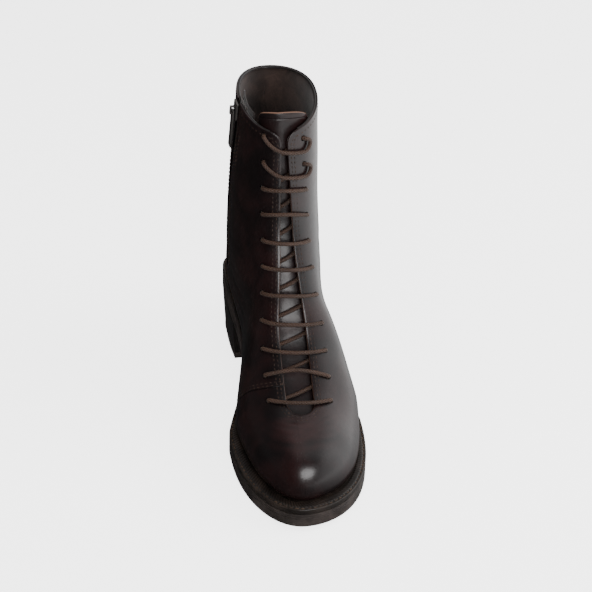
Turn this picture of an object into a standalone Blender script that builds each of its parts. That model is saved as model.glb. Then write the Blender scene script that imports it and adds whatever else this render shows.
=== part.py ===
"""Lace up ankle boot for the left foot: welted sole, block heel, front lacing and an inner side zip.

The toe points to -Y, +X is the outer side of the foot and +Z is up. The origin is the centre of the
heel's bottom face, on the floor. Inside the functions a place is (x, forward, z), where forward is the
distance from the back edge of the sole towards the toe.
"""

import functools
import math

import bmesh
import bpy
import numpy as np

# Sole, in plan
SOLE_LENGTH = 0.268
BALL_MEDIAL = 0.0480
BALL_LATERAL = 0.0535
WAIST_MEDIAL = 0.0275
WAIST_LATERAL = 0.0370
HEEL_HALF_WIDTH = 0.0322
TOE_SWING = -0.0045

# Sole, in height
TOP_PIECE_THICKNESS = 0.006
HEEL_HEIGHT = 0.0440
SEAT_PITCH = 0.0055
SEAT_POWER = 2.4
OUTSOLE_THICKNESS = 0.0118
WELT_THICKNESS = 0.0046
TOE_SPRING = 0.004
HEEL_LENGTH = 0.065
HEEL_TAPER = 0.0022
SOLE_EDGE_BEVEL = 0.0014

# Welt ledge that shows outside the upper, and how far the welt reaches under the upper
LEDGE_TOE = 0.0090
LEDGE_BALL = 0.0060
LEDGE_HEEL = 0.0052
WELT_UNDERLAP = 0.0060

# Foot and shaft
INSTEP_DEPTH = 0.092
TOE_DEPTH = 0.0345
WAIST_BULGE = 0.0070
FEATHER_TUCK = 0.0018
SHAFT_HEIGHT = 0.179
SHAFT_HALF_WIDTH = 0.0330
COLLAR_DROP = 0.010
WALL = 0.0022
FIT_GAP = 0.0003
INSOLE_THICKNESS = 0.0030
INSOLE_CLEARANCE = 0.0023

# Throat and lacing
THROAT_CENTRE = 0.0016
THROAT_WIDTH = 0.0214
THROAT_TOP_WIDTH = 0.0050
FACING_CORNER_RADIUS = 0.0085
EYELET_PAIRS = 11
EYELET_SPACING = 0.0197
EYELET_INSET = 0.0130
EYELET_RADIUS = 0.0022
TOP_EYELET_DROP = 0.0085
THROAT_BELOW_EYELETS = 0.0085
LACE_RADIUS = 0.0015
TONGUE_THICKNESS = 0.0020
TONGUE_MARGIN = 0.0175
TONGUE_TOP_MARGIN = 0.0215
TONGUE_FLARE = 0.035
TONGUE_RISE = 0.0065
TONGUE_UNDERLAP = 0.0145

# Zip
ZIP_FORWARD = 0.0610
ZIP_SLOT_WIDTH = 0.0070
ZIP_BOTTOM_RISE = 0.0280
ZIP_TAPE_WIDTH = 0.0240
ZIP_TAPE_THICKNESS = 0.0008
ZIP_CHAIN_WIDTH = 0.0050
ZIP_CHAIN_HEIGHT = 0.0016
GUARD_WIDTH = 0.0360
GUARD_THICKNESS = 0.0011
SLIDER_LENGTH = 0.0135
SLIDER_WIDTH = 0.0088
SLIDER_PLATE = 0.0017
BRIDGE_HEIGHT = 0.0026
BRIDGE_WIDTH = 0.0024
BRIDGE_THICKNESS = 0.0011
PULL_LENGTH = 0.0300
PULL_WIDTH = 0.0062
PULL_THICKNESS = 0.0014
PULL_WINDOW = 0.0034
BRIDGE_LENGTH = 0.0068

# Mesh fineness
OUTLINE_STATIONS = 42
UPPER_COLUMNS = 44
RING_SAMPLES = 240

SOLE_STACK = OUTSOLE_THICKNESS + FIT_GAP + WELT_THICKNESS
FEATHER_LIFT = SOLE_STACK + 1.5 * FIT_GAP
SEAT = HEEL_HEIGHT + FEATHER_LIFT
ORIGIN_FORWARD = HEEL_LENGTH / 2
COLLAR_SIDE = SEAT + SHAFT_HEIGHT
TONGUE_SINK = WALL + 2 * LACE_RADIUS + 4 * FIT_GAP

# Sole edge behind the ball. Columns: share of sole length; edge on the medial and on the lateral
# side, each as shares of (heel half width, waist, ball).
PLAN_ROWS = [
    (0.090, (1.00, 0.00, 0.00), (1.00, 0.00, 0.00)),
    (0.200, (0.98, 0.00, 0.00), (0.98, 0.02, 0.00)),
    (0.260, (0.65, 0.32, 0.00), (0.70, 0.29, 0.00)),
    (0.320, (0.25, 0.73, 0.00), (0.35, 0.63, 0.00)),
    (0.380, (0.00, 1.00, 0.00), (0.10, 0.90, 0.00)),
    (0.440, (0.00, 0.92, 0.08), (0.00, 0.87, 0.14)),
    (0.500, (0.00, 0.55, 0.395), (0.00, 0.48, 0.50)),
    (0.560, (0.00, 0.20, 0.73), (0.00, 0.15, 0.81)),
    (0.610, (0.00, 0.03, 0.925), (0.00, 0.02, 0.955)),
    (0.665, (0.00, 0.00, 1.00), (0.00, 0.00, 1.00)),
]
MEDIAL_TOE_START = 0.672
LATERAL_TOE_START = 0.630
MEDIAL_TOE_POWER = 2.15
LATERAL_TOE_POWER = 2.40
HEEL_CAP_POWER = 2.4

# Where the tread bends, as shares of sole length
BALL_TREAD = 0.60
TOE_ROLL = 0.765

# Ledge width. Columns: share of sole length; shares of (heel, ball, toe) ledge on the medial side and
# on the lateral side.
LEDGE_ROWS = [
    (0.00, (1.0, 0.00, 0.00), (1.0, 0.00, 0.00)),
    (0.30, (0.6, 0.25, 0.00), (0.6, 0.25, 0.00)),
    (0.60, (0.0, 0.90, 0.00), (0.0, 0.62, 0.00)),
    (0.70, (0.0, 0.55, 0.45), (0.0, 0.95, 0.00)),
    (0.80, (0.0, 0.10, 0.92), (0.0, 0.70, 0.30)),
    (0.97, (0.0, 0.00, 1.00), (0.0, 0.20, 0.72)),
]

# Depth of the foot above the feather line. Columns: share of sole length; shares of toe depth and of
# instep depth; share of the waist bulge on the medial and on the lateral side.
DEPTH_ROWS = [
    (0.00, 0.0, 0.33, 0.20, 0.20),
    (0.18, 0.0, 0.50, 0.40, 0.20),
    (0.30, 0.0, 0.72, 0.90, 0.25),
    (0.39, 0.0, 0.93, 1.00, 0.30),
    (0.45, 0.0, 1.02, 0.90, 0.32),
    (0.50, 0.0, 1.02, 0.70, 0.34),
    (0.545, 0.0, 0.94, 0.50, 0.36),
    (0.60, 0.10, 0.735, 0.35, 0.36),
    (0.655, 0.35, 0.500, 0.30, 0.36),
    (0.715, 0.65, 0.256, 0.30, 0.36),
    (0.77, 0.88, 0.115, 0.32, 0.34),
    (0.83, 1.00, 0.038, 0.36, 0.36),
    (0.88, 1.00, 0.000, 0.36, 0.36),
]
TOE_CAP_START = 0.845
TOE_CAP_POWER = 2.25
TOE_CAP_ROOT = 0.47
FOOT_START = 0.09
FOOT_HEEL_SHARE = 0.62
FOOT_ARCH_POWER = 2.35
FOOT_TOP_POWER = 2.15
BULGE_TOP = 0.34

# Shaft. Columns: share of shaft height above the seat; back and front as shares of sole length;
# half width on each side as shares of the heel's foot width and of the shaft half width; roundness.
SHAFT_ROWS = [
    # height, back, front, medial (heel, shaft), lateral (heel, shaft), power
    (0.000, 0.0195, 0.355, (1.00, 0.00), (1.00, 0.00), 2.35),
    (0.080, 0.0120, 0.405, (0.55, 0.50), (0.55, 0.50), 2.30),
    (0.180, 0.0150, 0.455, (0.10, 0.93), (0.10, 0.90), 2.25),
    (0.285, 0.0270, 0.492, (0.00, 1.04), (0.00, 0.99), 2.20),
    (0.380, 0.0390, 0.485, (0.00, 1.04), (0.00, 0.99), 2.17),
    (0.480, 0.0470, 0.458, (0.00, 1.02), (0.00, 0.985), 2.15),
    (0.587, 0.0500, 0.431, (0.00, 0.99), (0.00, 0.98), 2.12),
    (0.698, 0.0500, 0.410, (0.00, 0.94), (0.00, 0.975), 2.10),
    (0.807, 0.0490, 0.392, (0.00, 0.885), (0.00, 0.975), 2.10),
    (0.916, 0.0483, 0.374, (0.00, 0.83), (0.00, 0.98), 2.10),
    (1.020, 0.0480, 0.360, (0.00, 0.80), (0.00, 0.98), 2.10),
    (1.200, 0.0475, 0.345, (0.00, 0.78), (0.00, 0.97), 2.10),
]
INSTEP_FILLET = 0.014

# Rings that wrap the boot from the feather line to the collar. Columns: share of the back height;
# share of the front profile; how far the ring has flattened; dip of its middle in instep depths.
RING_ROWS = [
    (0.000, 0.000, 0.00, 0.000),
    (0.028, 0.031, 0.00, 0.000),
    (0.056, 0.058, 0.00, 0.006),
    (0.084, 0.092, 0.00, 0.024),
    (0.112, 0.132, 0.00, 0.050),
    (0.140, 0.176, 0.00, 0.080),
    (0.170, 0.225, 0.00, 0.120),
    (0.200, 0.272, 0.00, 0.160),
    (0.240, 0.335, 0.08, 0.170),
    (0.285, 0.420, 0.28, 0.160),
    (0.350, 0.520, 0.58, 0.120),
    (0.445, 0.620, 0.85, 0.070),
    (0.570, 0.725, 1.00, 0.020),
    (0.750, 0.860, 1.00, -0.015),
    (0.972, 1.000, 1.00, -0.050),
    (1.080, 1.090, 1.00, -0.050),
]

# Throat gap. Columns: share of the throat length from its bottom; share of the way to the top width.
THROAT_ROWS = [(0.0, 0.0), (0.30, 0.02), (0.42, 0.22), (0.55, 0.52), (0.68, 0.68), (0.84, 0.85), (1.0, 1.0)]

# Lace bars from the top. Columns: sag in eyelet spacings; curl past the outer eyelet in spacings.
LACE_ROWS = [
    (0.58, 0.34),
    (0.60, 0.30),
    (0.20, 0.04),
    (0.10, 0.04),
    (0.26, 0.03),
    (0.16, 0.03),
    (0.12, 0.02),
    (0.12, 0.02),
    (0.20, 0.02),
    (-0.22, 0.00),
    (0.10, 0.02),
]

LEATHER = ("upper_leather", (0.050, 0.030, 0.030), 0.22, 0.0)
LINING = ("lining_leather", (0.045, 0.030, 0.026), 0.75, 0.0)
SOLE_RUBBER = ("sole_rubber", (0.060, 0.052, 0.048), 0.50, 0.0)
WELT_LEATHER = ("welt_leather", (0.050, 0.038, 0.032), 0.70, 0.0)
HEEL_FINISH = ("heel_finish", (0.045, 0.034, 0.032), 0.30, 0.0)
CORD = ("waxed_cord", (0.120, 0.075, 0.055), 0.60, 0.0)
TAPE = ("zip_tape", (0.020, 0.015, 0.014), 0.85, 0.0)
METAL = ("gunmetal", (0.120, 0.110, 0.100), 0.30, 1.0)


def clear_scene():
    """Remove every object of the startup scene."""
    for item in list(bpy.data.objects):
        bpy.data.objects.remove(item)


def new_collection(name):
    """A collection linked to the scene."""
    made = bpy.data.collections.new(name)
    bpy.context.scene.collection.children.link(made)
    return made


def material(spec):
    """The Principled material of (name, colour, roughness, metallic), made once."""
    name, colour, roughness, metallic = spec
    if name in bpy.data.materials:
        return bpy.data.materials[name]
    made = bpy.data.materials.new(name)
    made.use_nodes = True
    shader = made.node_tree.nodes["Principled BSDF"]
    shader.inputs["Base Color"].default_value = (*colour, 1.0)
    shader.inputs["Roughness"].default_value = roughness
    shader.inputs["Metallic"].default_value = metallic
    return made


def to_world(points):
    """(x, forward, z) rows as world rows, with the toe to -Y."""
    points = np.asarray(points, float)
    return np.stack([points[..., 0], ORIGIN_FORWARD - points[..., 1], points[..., 2]], axis=-1)


def smooth_table(rows, column, at):
    """Monotone cubic through one column of a table against its first column, held past its ends."""
    xs = np.array([row[0] for row in rows])
    ys = np.array([column(row) for row in rows])
    steps = np.diff(xs)
    slopes = np.diff(ys) / steps
    inner = np.where(slopes[1:] * slopes[:-1] > 0, 2 / (1 / (slopes[1:] + 1e-12) + 1 / (slopes[:-1] + 1e-12)), 0.0)
    tangents = np.concatenate([[slopes[0]], inner, [slopes[-1]]])
    at = np.clip(at, xs[0], xs[-1])
    index = np.clip(np.searchsorted(xs, at) - 1, 0, len(xs) - 2)
    t = (at - xs[index]) / steps[index]
    return (
        (2 * t**3 - 3 * t**2 + 1) * ys[index]
        + (t**3 - 2 * t**2 + t) * steps[index] * tangents[index]
        + (3 * t**2 - 2 * t**3) * ys[index + 1]
        + (t**3 - t**2) * steps[index] * tangents[index + 1]
    )


def mix(shares, sizes):
    """Sum of shares times sizes."""
    return sum(share * size for share, size in zip(shares, sizes))


def sole_edge(forward, side):
    """Distance of the sole's edge from the centre line at a forward place; side is -1 medial, 1 lateral."""
    waist, ball = (WAIST_MEDIAL, BALL_MEDIAL) if side < 0 else (WAIST_LATERAL, BALL_LATERAL)
    column = 1 if side < 0 else 2
    share = forward / SOLE_LENGTH
    width = smooth_table(PLAN_ROWS, lambda row: mix(row[column], (HEEL_HALF_WIDTH, waist, ball)), share)
    return width


def plan_edge(forward, side, inset_heel, inset_side, inset_toe):
    """x of an outline drawn inside the sole's edge by three insets, round at heel and toe."""
    forward = np.asarray(forward, float)
    start = (MEDIAL_TOE_START if side < 0 else LATERAL_TOE_START) * SOLE_LENGTH
    power = MEDIAL_TOE_POWER if side < 0 else LATERAL_TOE_POWER
    toe_end = SOLE_LENGTH - inset_toe
    heel_start = PLAN_ROWS[0][0] * SOLE_LENGTH
    width = sole_edge(np.minimum(forward, start), side) - inset_side
    toe = np.clip((forward - start) / (toe_end - start), 0, 1)
    heel = np.clip((heel_start - forward) / (heel_start - inset_heel), 0, 1)
    shift = TOE_SWING * toe**2
    taper = np.sqrt(1 - toe**power) * np.sqrt(1 - heel**HEEL_CAP_POWER)
    return shift + side * np.maximum(width - side * TOE_SWING * (toe > 0) * toe**2, 0) * taper


def tread_height(forward):
    """Height of the outsole's underside: heel seat, arch, flat ball and toe spring."""
    forward = np.asarray(forward, float)
    ball = BALL_TREAD * SOLE_LENGTH
    roll = TOE_ROLL * SOLE_LENGTH
    seat = HEEL_HEIGHT - SEAT_PITCH * (np.clip(forward, 0, HEEL_LENGTH) / HEEL_LENGTH) ** SEAT_POWER
    t = np.clip((forward - HEEL_LENGTH) / (ball - HEEL_LENGTH), 0, 1)
    breast = HEEL_HEIGHT - SEAT_PITCH
    lean = -SEAT_PITCH * SEAT_POWER / HEEL_LENGTH * (ball - HEEL_LENGTH)
    arch = breast * (2 * t**3 - 3 * t**2 + 1) + lean * (t**3 - 2 * t**2 + t)
    spring = TOE_SPRING * np.clip((forward - roll) / (SOLE_LENGTH - roll), 0, 1.2) ** 2
    return np.where(forward < HEEL_LENGTH, seat, arch) + spring


def feather_height(forward):
    """Height of the line where the upper meets the welt."""
    return tread_height(forward) + FEATHER_LIFT


def ledge(forward, side):
    """Width of the welt that shows outside the upper on one side."""
    column = 1 if side < 0 else 2
    sizes = (LEDGE_HEEL, LEDGE_BALL, LEDGE_TOE)
    return smooth_table(LEDGE_ROWS, lambda row: mix(row[column], sizes), forward / SOLE_LENGTH)


def foot_field(x, forward, z):
    """Signed measure of the foot part of the upper: negative inside."""
    share = forward / SOLE_LENGTH
    toe_end = SOLE_LENGTH - LEDGE_TOE
    cap_start = TOE_CAP_START * SOLE_LENGTH
    depth = smooth_table(DEPTH_ROWS, lambda row: mix(row[1:3], (TOE_DEPTH, INSTEP_DEPTH)), share)
    cap = np.clip((forward - cap_start) / (toe_end - cap_start), 0, 1)
    depth = np.maximum(depth * (1 - cap**TOE_CAP_POWER) ** TOE_CAP_ROOT, 1e-5)
    rise = np.clip((z - feather_height(forward)) / depth, 0, None)
    swell = 1 - (1 - np.clip(rise / BULGE_TOP, 0, 1)) ** 2
    heel = FOOT_HEEL_SHARE + (1 - FOOT_HEEL_SHARE) * np.clip(share / 0.3, 0, 1)
    medial_bulge = smooth_table(DEPTH_ROWS, lambda row: row[3] * WAIST_BULGE, share)
    lateral_bulge = smooth_table(DEPTH_ROWS, lambda row: row[4] * WAIST_BULGE, share)
    fade = np.sqrt(np.clip((toe_end - forward) / (toe_end - cap_start), 0, 1))
    medial_edge = plan_edge(forward, -1, LEDGE_HEEL, ledge(forward, -1), LEDGE_TOE)
    lateral_edge = plan_edge(forward, 1, LEDGE_HEEL, ledge(forward, 1), LEDGE_TOE)
    medial = -medial_edge * heel + medial_bulge * swell * fade
    lateral = lateral_edge * heel + lateral_bulge * swell * fade
    toe_bend = np.clip((share - MEDIAL_TOE_START) / (1 - MEDIAL_TOE_START), 0, 1) ** 2
    ridge = THROAT_CENTRE + (TOE_SWING - THROAT_CENTRE) * toe_bend
    half = np.maximum(np.where(x < ridge, medial + ridge, lateral - ridge), 1e-5)
    radius = ((np.abs(x - ridge) / half) ** FOOT_ARCH_POWER + rise**FOOT_TOP_POWER) ** (1 / FOOT_ARCH_POWER)
    field = (radius - 1) * np.minimum((medial + lateral) / 2, depth)
    return np.maximum(field, np.maximum(forward - toe_end, FOOT_START * SOLE_LENGTH - forward))


def shaft_field(x, forward, z):
    """Signed measure of the shaft and heel part of the upper: negative inside."""
    share = np.clip((z - SEAT) / SHAFT_HEIGHT, 0, SHAFT_ROWS[-1][0])
    heel_foot = HEEL_HALF_WIDTH - LEDGE_HEEL
    sizes = (heel_foot, SHAFT_HALF_WIDTH)
    back = smooth_table(SHAFT_ROWS, lambda row: row[1] * SOLE_LENGTH, share)
    front = smooth_table(SHAFT_ROWS, lambda row: row[2] * SOLE_LENGTH, share)
    medial = smooth_table(SHAFT_ROWS, lambda row: mix(row[3], sizes), share)
    lateral = smooth_table(SHAFT_ROWS, lambda row: mix(row[4], sizes), share)
    power = smooth_table(SHAFT_ROWS, lambda row: row[5], share)
    half = np.where(x < 0, medial, lateral)
    centre = (back + front) / 2
    depth = (front - back) / 2
    radius = ((np.abs(x) / half) ** power + (np.abs(forward - centre) / depth) ** power) ** (1 / power)
    return (radius - 1) * (medial + lateral) / 2


def boot_field(x, forward, z):
    """Foot and shaft joined with a fillet: negative inside the upper's outer face."""
    foot = foot_field(x, forward, z)
    shaft = shaft_field(x, forward, z)
    overlap = np.clip(INSTEP_FILLET - np.abs(foot - shaft), 0, None) / INSTEP_FILLET
    return np.minimum(foot, shaft) - overlap**2 * INSTEP_FILLET / 4


def outward(points):
    """Unit normals of the boot's outer face at (n, 3) places, from the field's slope."""
    step = 2e-5
    slopes = []
    for axis in range(3):
        shift = np.zeros(3)
        shift[axis] = step
        ahead, behind = points + shift, points - shift
        slopes.append(boot_field(*ahead.T) - boot_field(*behind.T))
    normals = np.stack(slopes, axis=1)
    return normals / np.maximum(np.linalg.norm(normals, axis=1, keepdims=True), 1e-12)


def crossing(inside, outside, place):
    """Halve the span between an inside and an outside reach until the field is zero there."""
    for _ in range(34):
        middle = (inside + outside) / 2
        within = boot_field(*place(middle)) < 0
        inside = np.where(within, middle, inside)
        outside = np.where(within, outside, middle)
    return (inside + outside) / 2


def front_profile():
    """(forward, z, length) along the front centre line from the toe's feather to above the collar."""
    pivot_forward, pivot_z = 0.37 * SOLE_LENGTH, -0.25 * INSTEP_DEPTH
    toe = SOLE_LENGTH - LEDGE_TOE
    toe_angle = math.atan2(float(feather_height(toe)) + 1e-4 - pivot_z, toe - pivot_forward)
    top_angle = math.radians(93.0)
    angles = np.linspace(toe_angle, top_angle, 500)
    reach = SOLE_LENGTH + SHAFT_HEIGHT

    def place(radius):
        return (
            np.full_like(angles, THROAT_CENTRE),
            pivot_forward + radius * np.cos(angles),
            pivot_z + radius * np.sin(angles),
        )

    radius = crossing(np.full_like(angles, 0.03), np.full_like(angles, reach), place)
    _, forward, z = place(radius)
    steps = np.hypot(np.diff(forward), np.diff(z))
    length = np.concatenate([[0.0], np.cumsum(steps)])
    collar = SEAT + SHAFT_HEIGHT - COLLAR_DROP
    top = int(np.argmax(z > collar + 0.03)) or len(z)
    return forward[:top], z[:top], length[:top]


FRONT_FORWARD, FRONT_Z, FRONT_LENGTH = front_profile()
COLLAR_LENGTH = float(np.interp(SEAT + SHAFT_HEIGHT - COLLAR_DROP, FRONT_Z[80:], FRONT_LENGTH[80:]))
TOP_EYELET_LENGTH = COLLAR_LENGTH - TOP_EYELET_DROP
LOW_EYELET_LENGTH = TOP_EYELET_LENGTH - EYELET_SPACING * (EYELET_PAIRS - 1)
THROAT_LENGTH = LOW_EYELET_LENGTH - THROAT_BELOW_EYELETS


@functools.lru_cache(maxsize=None)
def ring(length, samples=RING_SAMPLES):
    """Closed ring of the outer face whose front lies at a length along the front profile.

    It starts at the front centre and runs by the lateral side, the back and the medial side.
    """
    rows = [(row[1] * COLLAR_LENGTH, *row) for row in RING_ROWS]
    front_forward = np.interp(length, FRONT_LENGTH, FRONT_FORWARD)
    front_z = np.interp(length, FRONT_LENGTH, FRONT_Z)
    back_z = SEAT + SHAFT_HEIGHT * smooth_table(rows, lambda row: row[1], length)
    flat = smooth_table(rows, lambda row: row[3], length)
    dip = INSTEP_DEPTH * smooth_table(rows, lambda row: row[4], length)
    back_forward = LEDGE_HEEL
    span = front_forward - back_forward
    back_lift = back_z - ((1 - flat) * feather_height(back_forward) + flat * SEAT)
    front_lift = front_z - ((1 - flat) * feather_height(front_forward) + flat * SEAT)
    angles = np.linspace(0, 2 * math.pi, samples, endpoint=False)
    centre = back_forward + span * 0.5

    def place(reach):
        x = reach * SHAFT_HALF_WIDTH * np.sin(angles)
        forward = centre + reach * span * 0.5 * np.cos(angles)
        t = (forward - back_forward) / span
        base = (1 - flat) * feather_height(forward) + flat * SEAT
        z = base + back_lift * (1 - t) + front_lift * t - dip * 4 * t * (1 - t)
        return x, forward, z

    reach = crossing(np.full(samples, 0.15), np.full(samples, 2.4), place)
    points = np.stack(place(reach), axis=1)
    return points


def tucked(points, normals):
    """Points pulled in towards the feather line over the lowest part of the wall."""
    above = points[:, 2] - feather_height(points[:, 1])
    pull = FEATHER_TUCK * np.clip(1 - above / (4 * FEATHER_TUCK), 0, 1) ** 2
    return points - normals * np.array([1, 1, 0]) * pull[:, None]


def wall_direction(points, normals):
    """Outward directions for the wall's thickness, level along the feather line."""
    above = points[:, 2] - feather_height(points[:, 1])
    lean = np.clip(above / (4 * FEATHER_TUCK), 0, 1)
    directions = normals * np.stack([np.ones_like(lean), np.ones_like(lean), lean], axis=1)
    return directions / np.maximum(np.linalg.norm(directions, axis=1, keepdims=True), 1e-9)


def throat_half(length):
    """Half the gap between the facings at a length along the front profile; 0 below the throat."""
    rise = length - THROAT_LENGTH
    if rise <= 0:
        return 0.0
    share = rise / (COLLAR_LENGTH - THROAT_LENGTH)
    blend = float(smooth_table(THROAT_ROWS, lambda row: row[1], share))
    half = (THROAT_WIDTH + (THROAT_TOP_WIDTH - THROAT_WIDTH) * blend) / 2
    bottom = THROAT_WIDTH / 2
    if rise < bottom:
        half *= math.sqrt(1 - (1 - rise / bottom) ** 2)
    corner = FACING_CORNER_RADIUS - (COLLAR_LENGTH - length)
    if corner > 0:
        within = min(corner / FACING_CORNER_RADIUS, 1)
        half += FACING_CORNER_RADIUS * (1 - math.sqrt(1 - within**2))
    return half


def resample(points, lengths_along, wanted):
    """Points of a polyline at wanted lengths along it."""
    return np.stack([np.interp(wanted, lengths_along, points[:, axis]) for axis in range(3)], axis=1)


def open_ring(length, columns=UPPER_COLUMNS):
    """The ring cut open at the facings, as columns + 1 even points from the lateral facing round."""
    points = ring(length)
    loop = np.vstack([points, points[:1]])
    along = np.concatenate([[0.0], np.cumsum(np.linalg.norm(np.diff(loop, axis=0), axis=1))])
    half = throat_half(length)
    quarter = len(points) // 4
    start = np.interp(THROAT_CENTRE + half, loop[:quarter, 0], along[:quarter])
    back_x = loop[-quarter:, 0]
    end = np.interp(THROAT_CENTRE - half, back_x, along[-quarter:])
    if half == 0.0:
        start, end = 0.0, along[-1]
    return resample(loop, along, np.linspace(start, end, columns + 1))


def side_x(forward, z, side):
    """x of the outer face at a place in the side view; side is -1 medial, 1 lateral."""
    forward = np.asarray(forward, float)
    z = np.asarray(z, float)
    reach = crossing(np.full(forward.shape, 0.002), np.full(forward.shape, 0.09), lambda r: (side * r, forward, z))
    return side * reach


def front_place(x, length):
    """Outer face place and normal at a lateral place x in front, and a length along the profile."""
    points = ring(length)
    quarter = len(points) // 4
    strip = np.vstack([points[-quarter:], points[:quarter]])
    order = np.argsort(strip[:, 0])
    place = np.array([np.interp(x, strip[order, 0], strip[order, axis]) for axis in range(3)])
    return place, outward(place[None, :])[0]


def eyelet_length(index):
    """Length along the front profile of an eyelet pair; index 0 is the top pair."""
    return TOP_EYELET_LENGTH - EYELET_SPACING * index


def eyelet_x(index, side):
    """x of an eyelet's centre, a fixed inset outside the facing edge along the face."""
    length = eyelet_length(index)
    points = ring(length)
    half = throat_half(min(length, COLLAR_LENGTH - FACING_CORNER_RADIUS))
    quarter = len(points) // 4
    strip = points[:quarter] if side > 0 else np.vstack([points[:1], points[::-1][:quarter]])
    along = np.concatenate([[0.0], np.cumsum(np.linalg.norm(np.diff(strip, axis=0), axis=1))])
    edge = np.interp(half, np.abs(strip[:, 0] - THROAT_CENTRE), along)
    return float(np.interp(edge + EYELET_INSET, along, strip[:, 0]))


def new_object(name, points, faces, spec, collection):
    """A mesh object from world points and faces, closed up and with its faces outward."""
    mesh = bpy.data.meshes.new(name)
    mesh.from_pydata([tuple(p) for p in points], [], faces)
    work = bmesh.new()
    work.from_mesh(mesh)
    bmesh.ops.remove_doubles(work, verts=work.verts, dist=1e-6)
    bmesh.ops.dissolve_degenerate(work, dist=1e-7, edges=work.edges)
    bmesh.ops.recalc_face_normals(work, faces=work.faces)
    work.to_mesh(mesh)
    work.free()
    mesh.shade_smooth()
    mesh.set_sharp_from_angle(angle=math.radians(40))
    made = bpy.data.objects.new(name, mesh)
    made.data.materials.append(material(spec))
    collection.objects.link(made)
    return made


def grid_faces(rows, columns, first=0, wrap=False):
    """Quads of a row by column grid of points; wrap joins the last column to the first."""
    across = columns if wrap else columns - 1
    faces = []
    for row in range(rows - 1):
        for column in range(across):
            after = (column + 1) % columns
            low, high = first + row * columns, first + (row + 1) * columns
            faces.append((low + column, low + after, high + after, high + column))
    return faces


def sheet_solid(name, outer, inner, spec, collection, slit_from=None):
    """A closed wall between two grids of the same size.

    slit_from is the first row whose first and last column are a real edge; below it they meet.
    """
    rows, columns = outer.shape[:2]
    count = rows * columns
    points = np.vstack([outer.reshape(-1, 3), inner.reshape(-1, 3)])
    faces = grid_faces(rows, columns)
    faces += [tuple(i + count for i in face[::-1]) for face in grid_faces(rows, columns)]
    for row in (0, rows - 1):
        for column in range(columns - 1):
            a = row * columns + column
            faces.append((a, a + 1, a + 1 + count, a + count))
    for row in range(slit_from or 0, rows - 1):
        for column in (0, columns - 1):
            a = row * columns + column
            faces.append((a, a + columns, a + columns + count, a + count))
    return new_object(name, to_world(points), faces, spec, collection)


def upper_lengths():
    """Front profile lengths of the upper's rows, closer at the toe, the throat's end and the corners."""
    round_end = THROAT_WIDTH / 2
    below = np.linspace(0, THROAT_LENGTH, 10)
    throat_end = THROAT_LENGTH + round_end * np.array([0.12, 0.45, 1.0])
    corner = FACING_CORNER_RADIUS * np.array([1.0, 0.45, 0.12, 0.0])
    above = np.linspace(THROAT_LENGTH + round_end, COLLAR_LENGTH - FACING_CORNER_RADIUS, 12)
    return np.concatenate([below, throat_end, above[1:-1], COLLAR_LENGTH - corner])


def add_upper(collection, cutters):
    """The hollow upper: foot and shaft in one wall, open below, at the collar and down the throat."""
    lengths = upper_lengths()
    outer, inner = [], []
    for length in lengths:
        points = open_ring(length)
        normals = outward(points)
        points = tucked(points, normals)
        outer.append(points)
        inner.append(points - wall_direction(points, normals) * WALL)
    slit = int(np.argmax(lengths >= THROAT_LENGTH - 1e-9))
    upper = sheet_solid("upper", np.array(outer), np.array(inner), LEATHER, collection, slit)
    cutter = add_upper_cutter(cutters)
    cut = upper.modifiers.new("eyelets and zip slot", "BOOLEAN")
    cut.operation = "DIFFERENCE"
    cut.object = cutter
    return upper


def add_upper_cutter(cutters):
    """Cutter of every eyelet hole and of the zip's slot."""
    work = bmesh.new()
    for index in range(EYELET_PAIRS):
        for side in (-1, 1):
            place, normal = front_place(eyelet_x(index, side), eyelet_length(index))
            base = to_world(place - normal * WALL * 2.2)
            tip = to_world(place + normal * WALL * 1.5)
            axis = tip - base
            height = np.linalg.norm(axis)
            made = bmesh.ops.create_cone(
                work, cap_ends=True, segments=8, radius1=EYELET_RADIUS, radius2=EYELET_RADIUS, depth=height
            )
            turn = quaternion_to(axis / height)
            bmesh.ops.rotate(work, verts=made["verts"], cent=(0, 0, 0), matrix=turn.to_matrix())
            bmesh.ops.translate(work, verts=made["verts"], vec=tuple((base + tip) / 2))
    bottom = SEAT + ZIP_BOTTOM_RISE
    top = SEAT + SHAFT_HEIGHT * 1.1
    near, far = 0.4 * SHAFT_HALF_WIDTH, 1.8 * SHAFT_HALF_WIDTH
    made = bmesh.ops.create_cube(work, size=1.0)
    bmesh.ops.scale(work, verts=made["verts"], vec=(far - near, ZIP_SLOT_WIDTH, top - bottom))
    centre = to_world((-(near + far) / 2, ZIP_FORWARD, (top + bottom) / 2))
    bmesh.ops.translate(work, verts=made["verts"], vec=tuple(centre))
    mesh = bpy.data.meshes.new("upper cutter")
    work.to_mesh(mesh)
    work.free()
    cutter = bpy.data.objects.new("upper_cutter", mesh)
    cutter.hide_render = True
    cutter.display_type = "WIRE"
    cutters.objects.link(cutter)
    return cutter


def quaternion_to(direction):
    """Rotation that turns +Z to a direction."""
    from mathutils import Vector

    return Vector((0, 0, 1)).rotation_difference(Vector(tuple(direction)))


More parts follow.
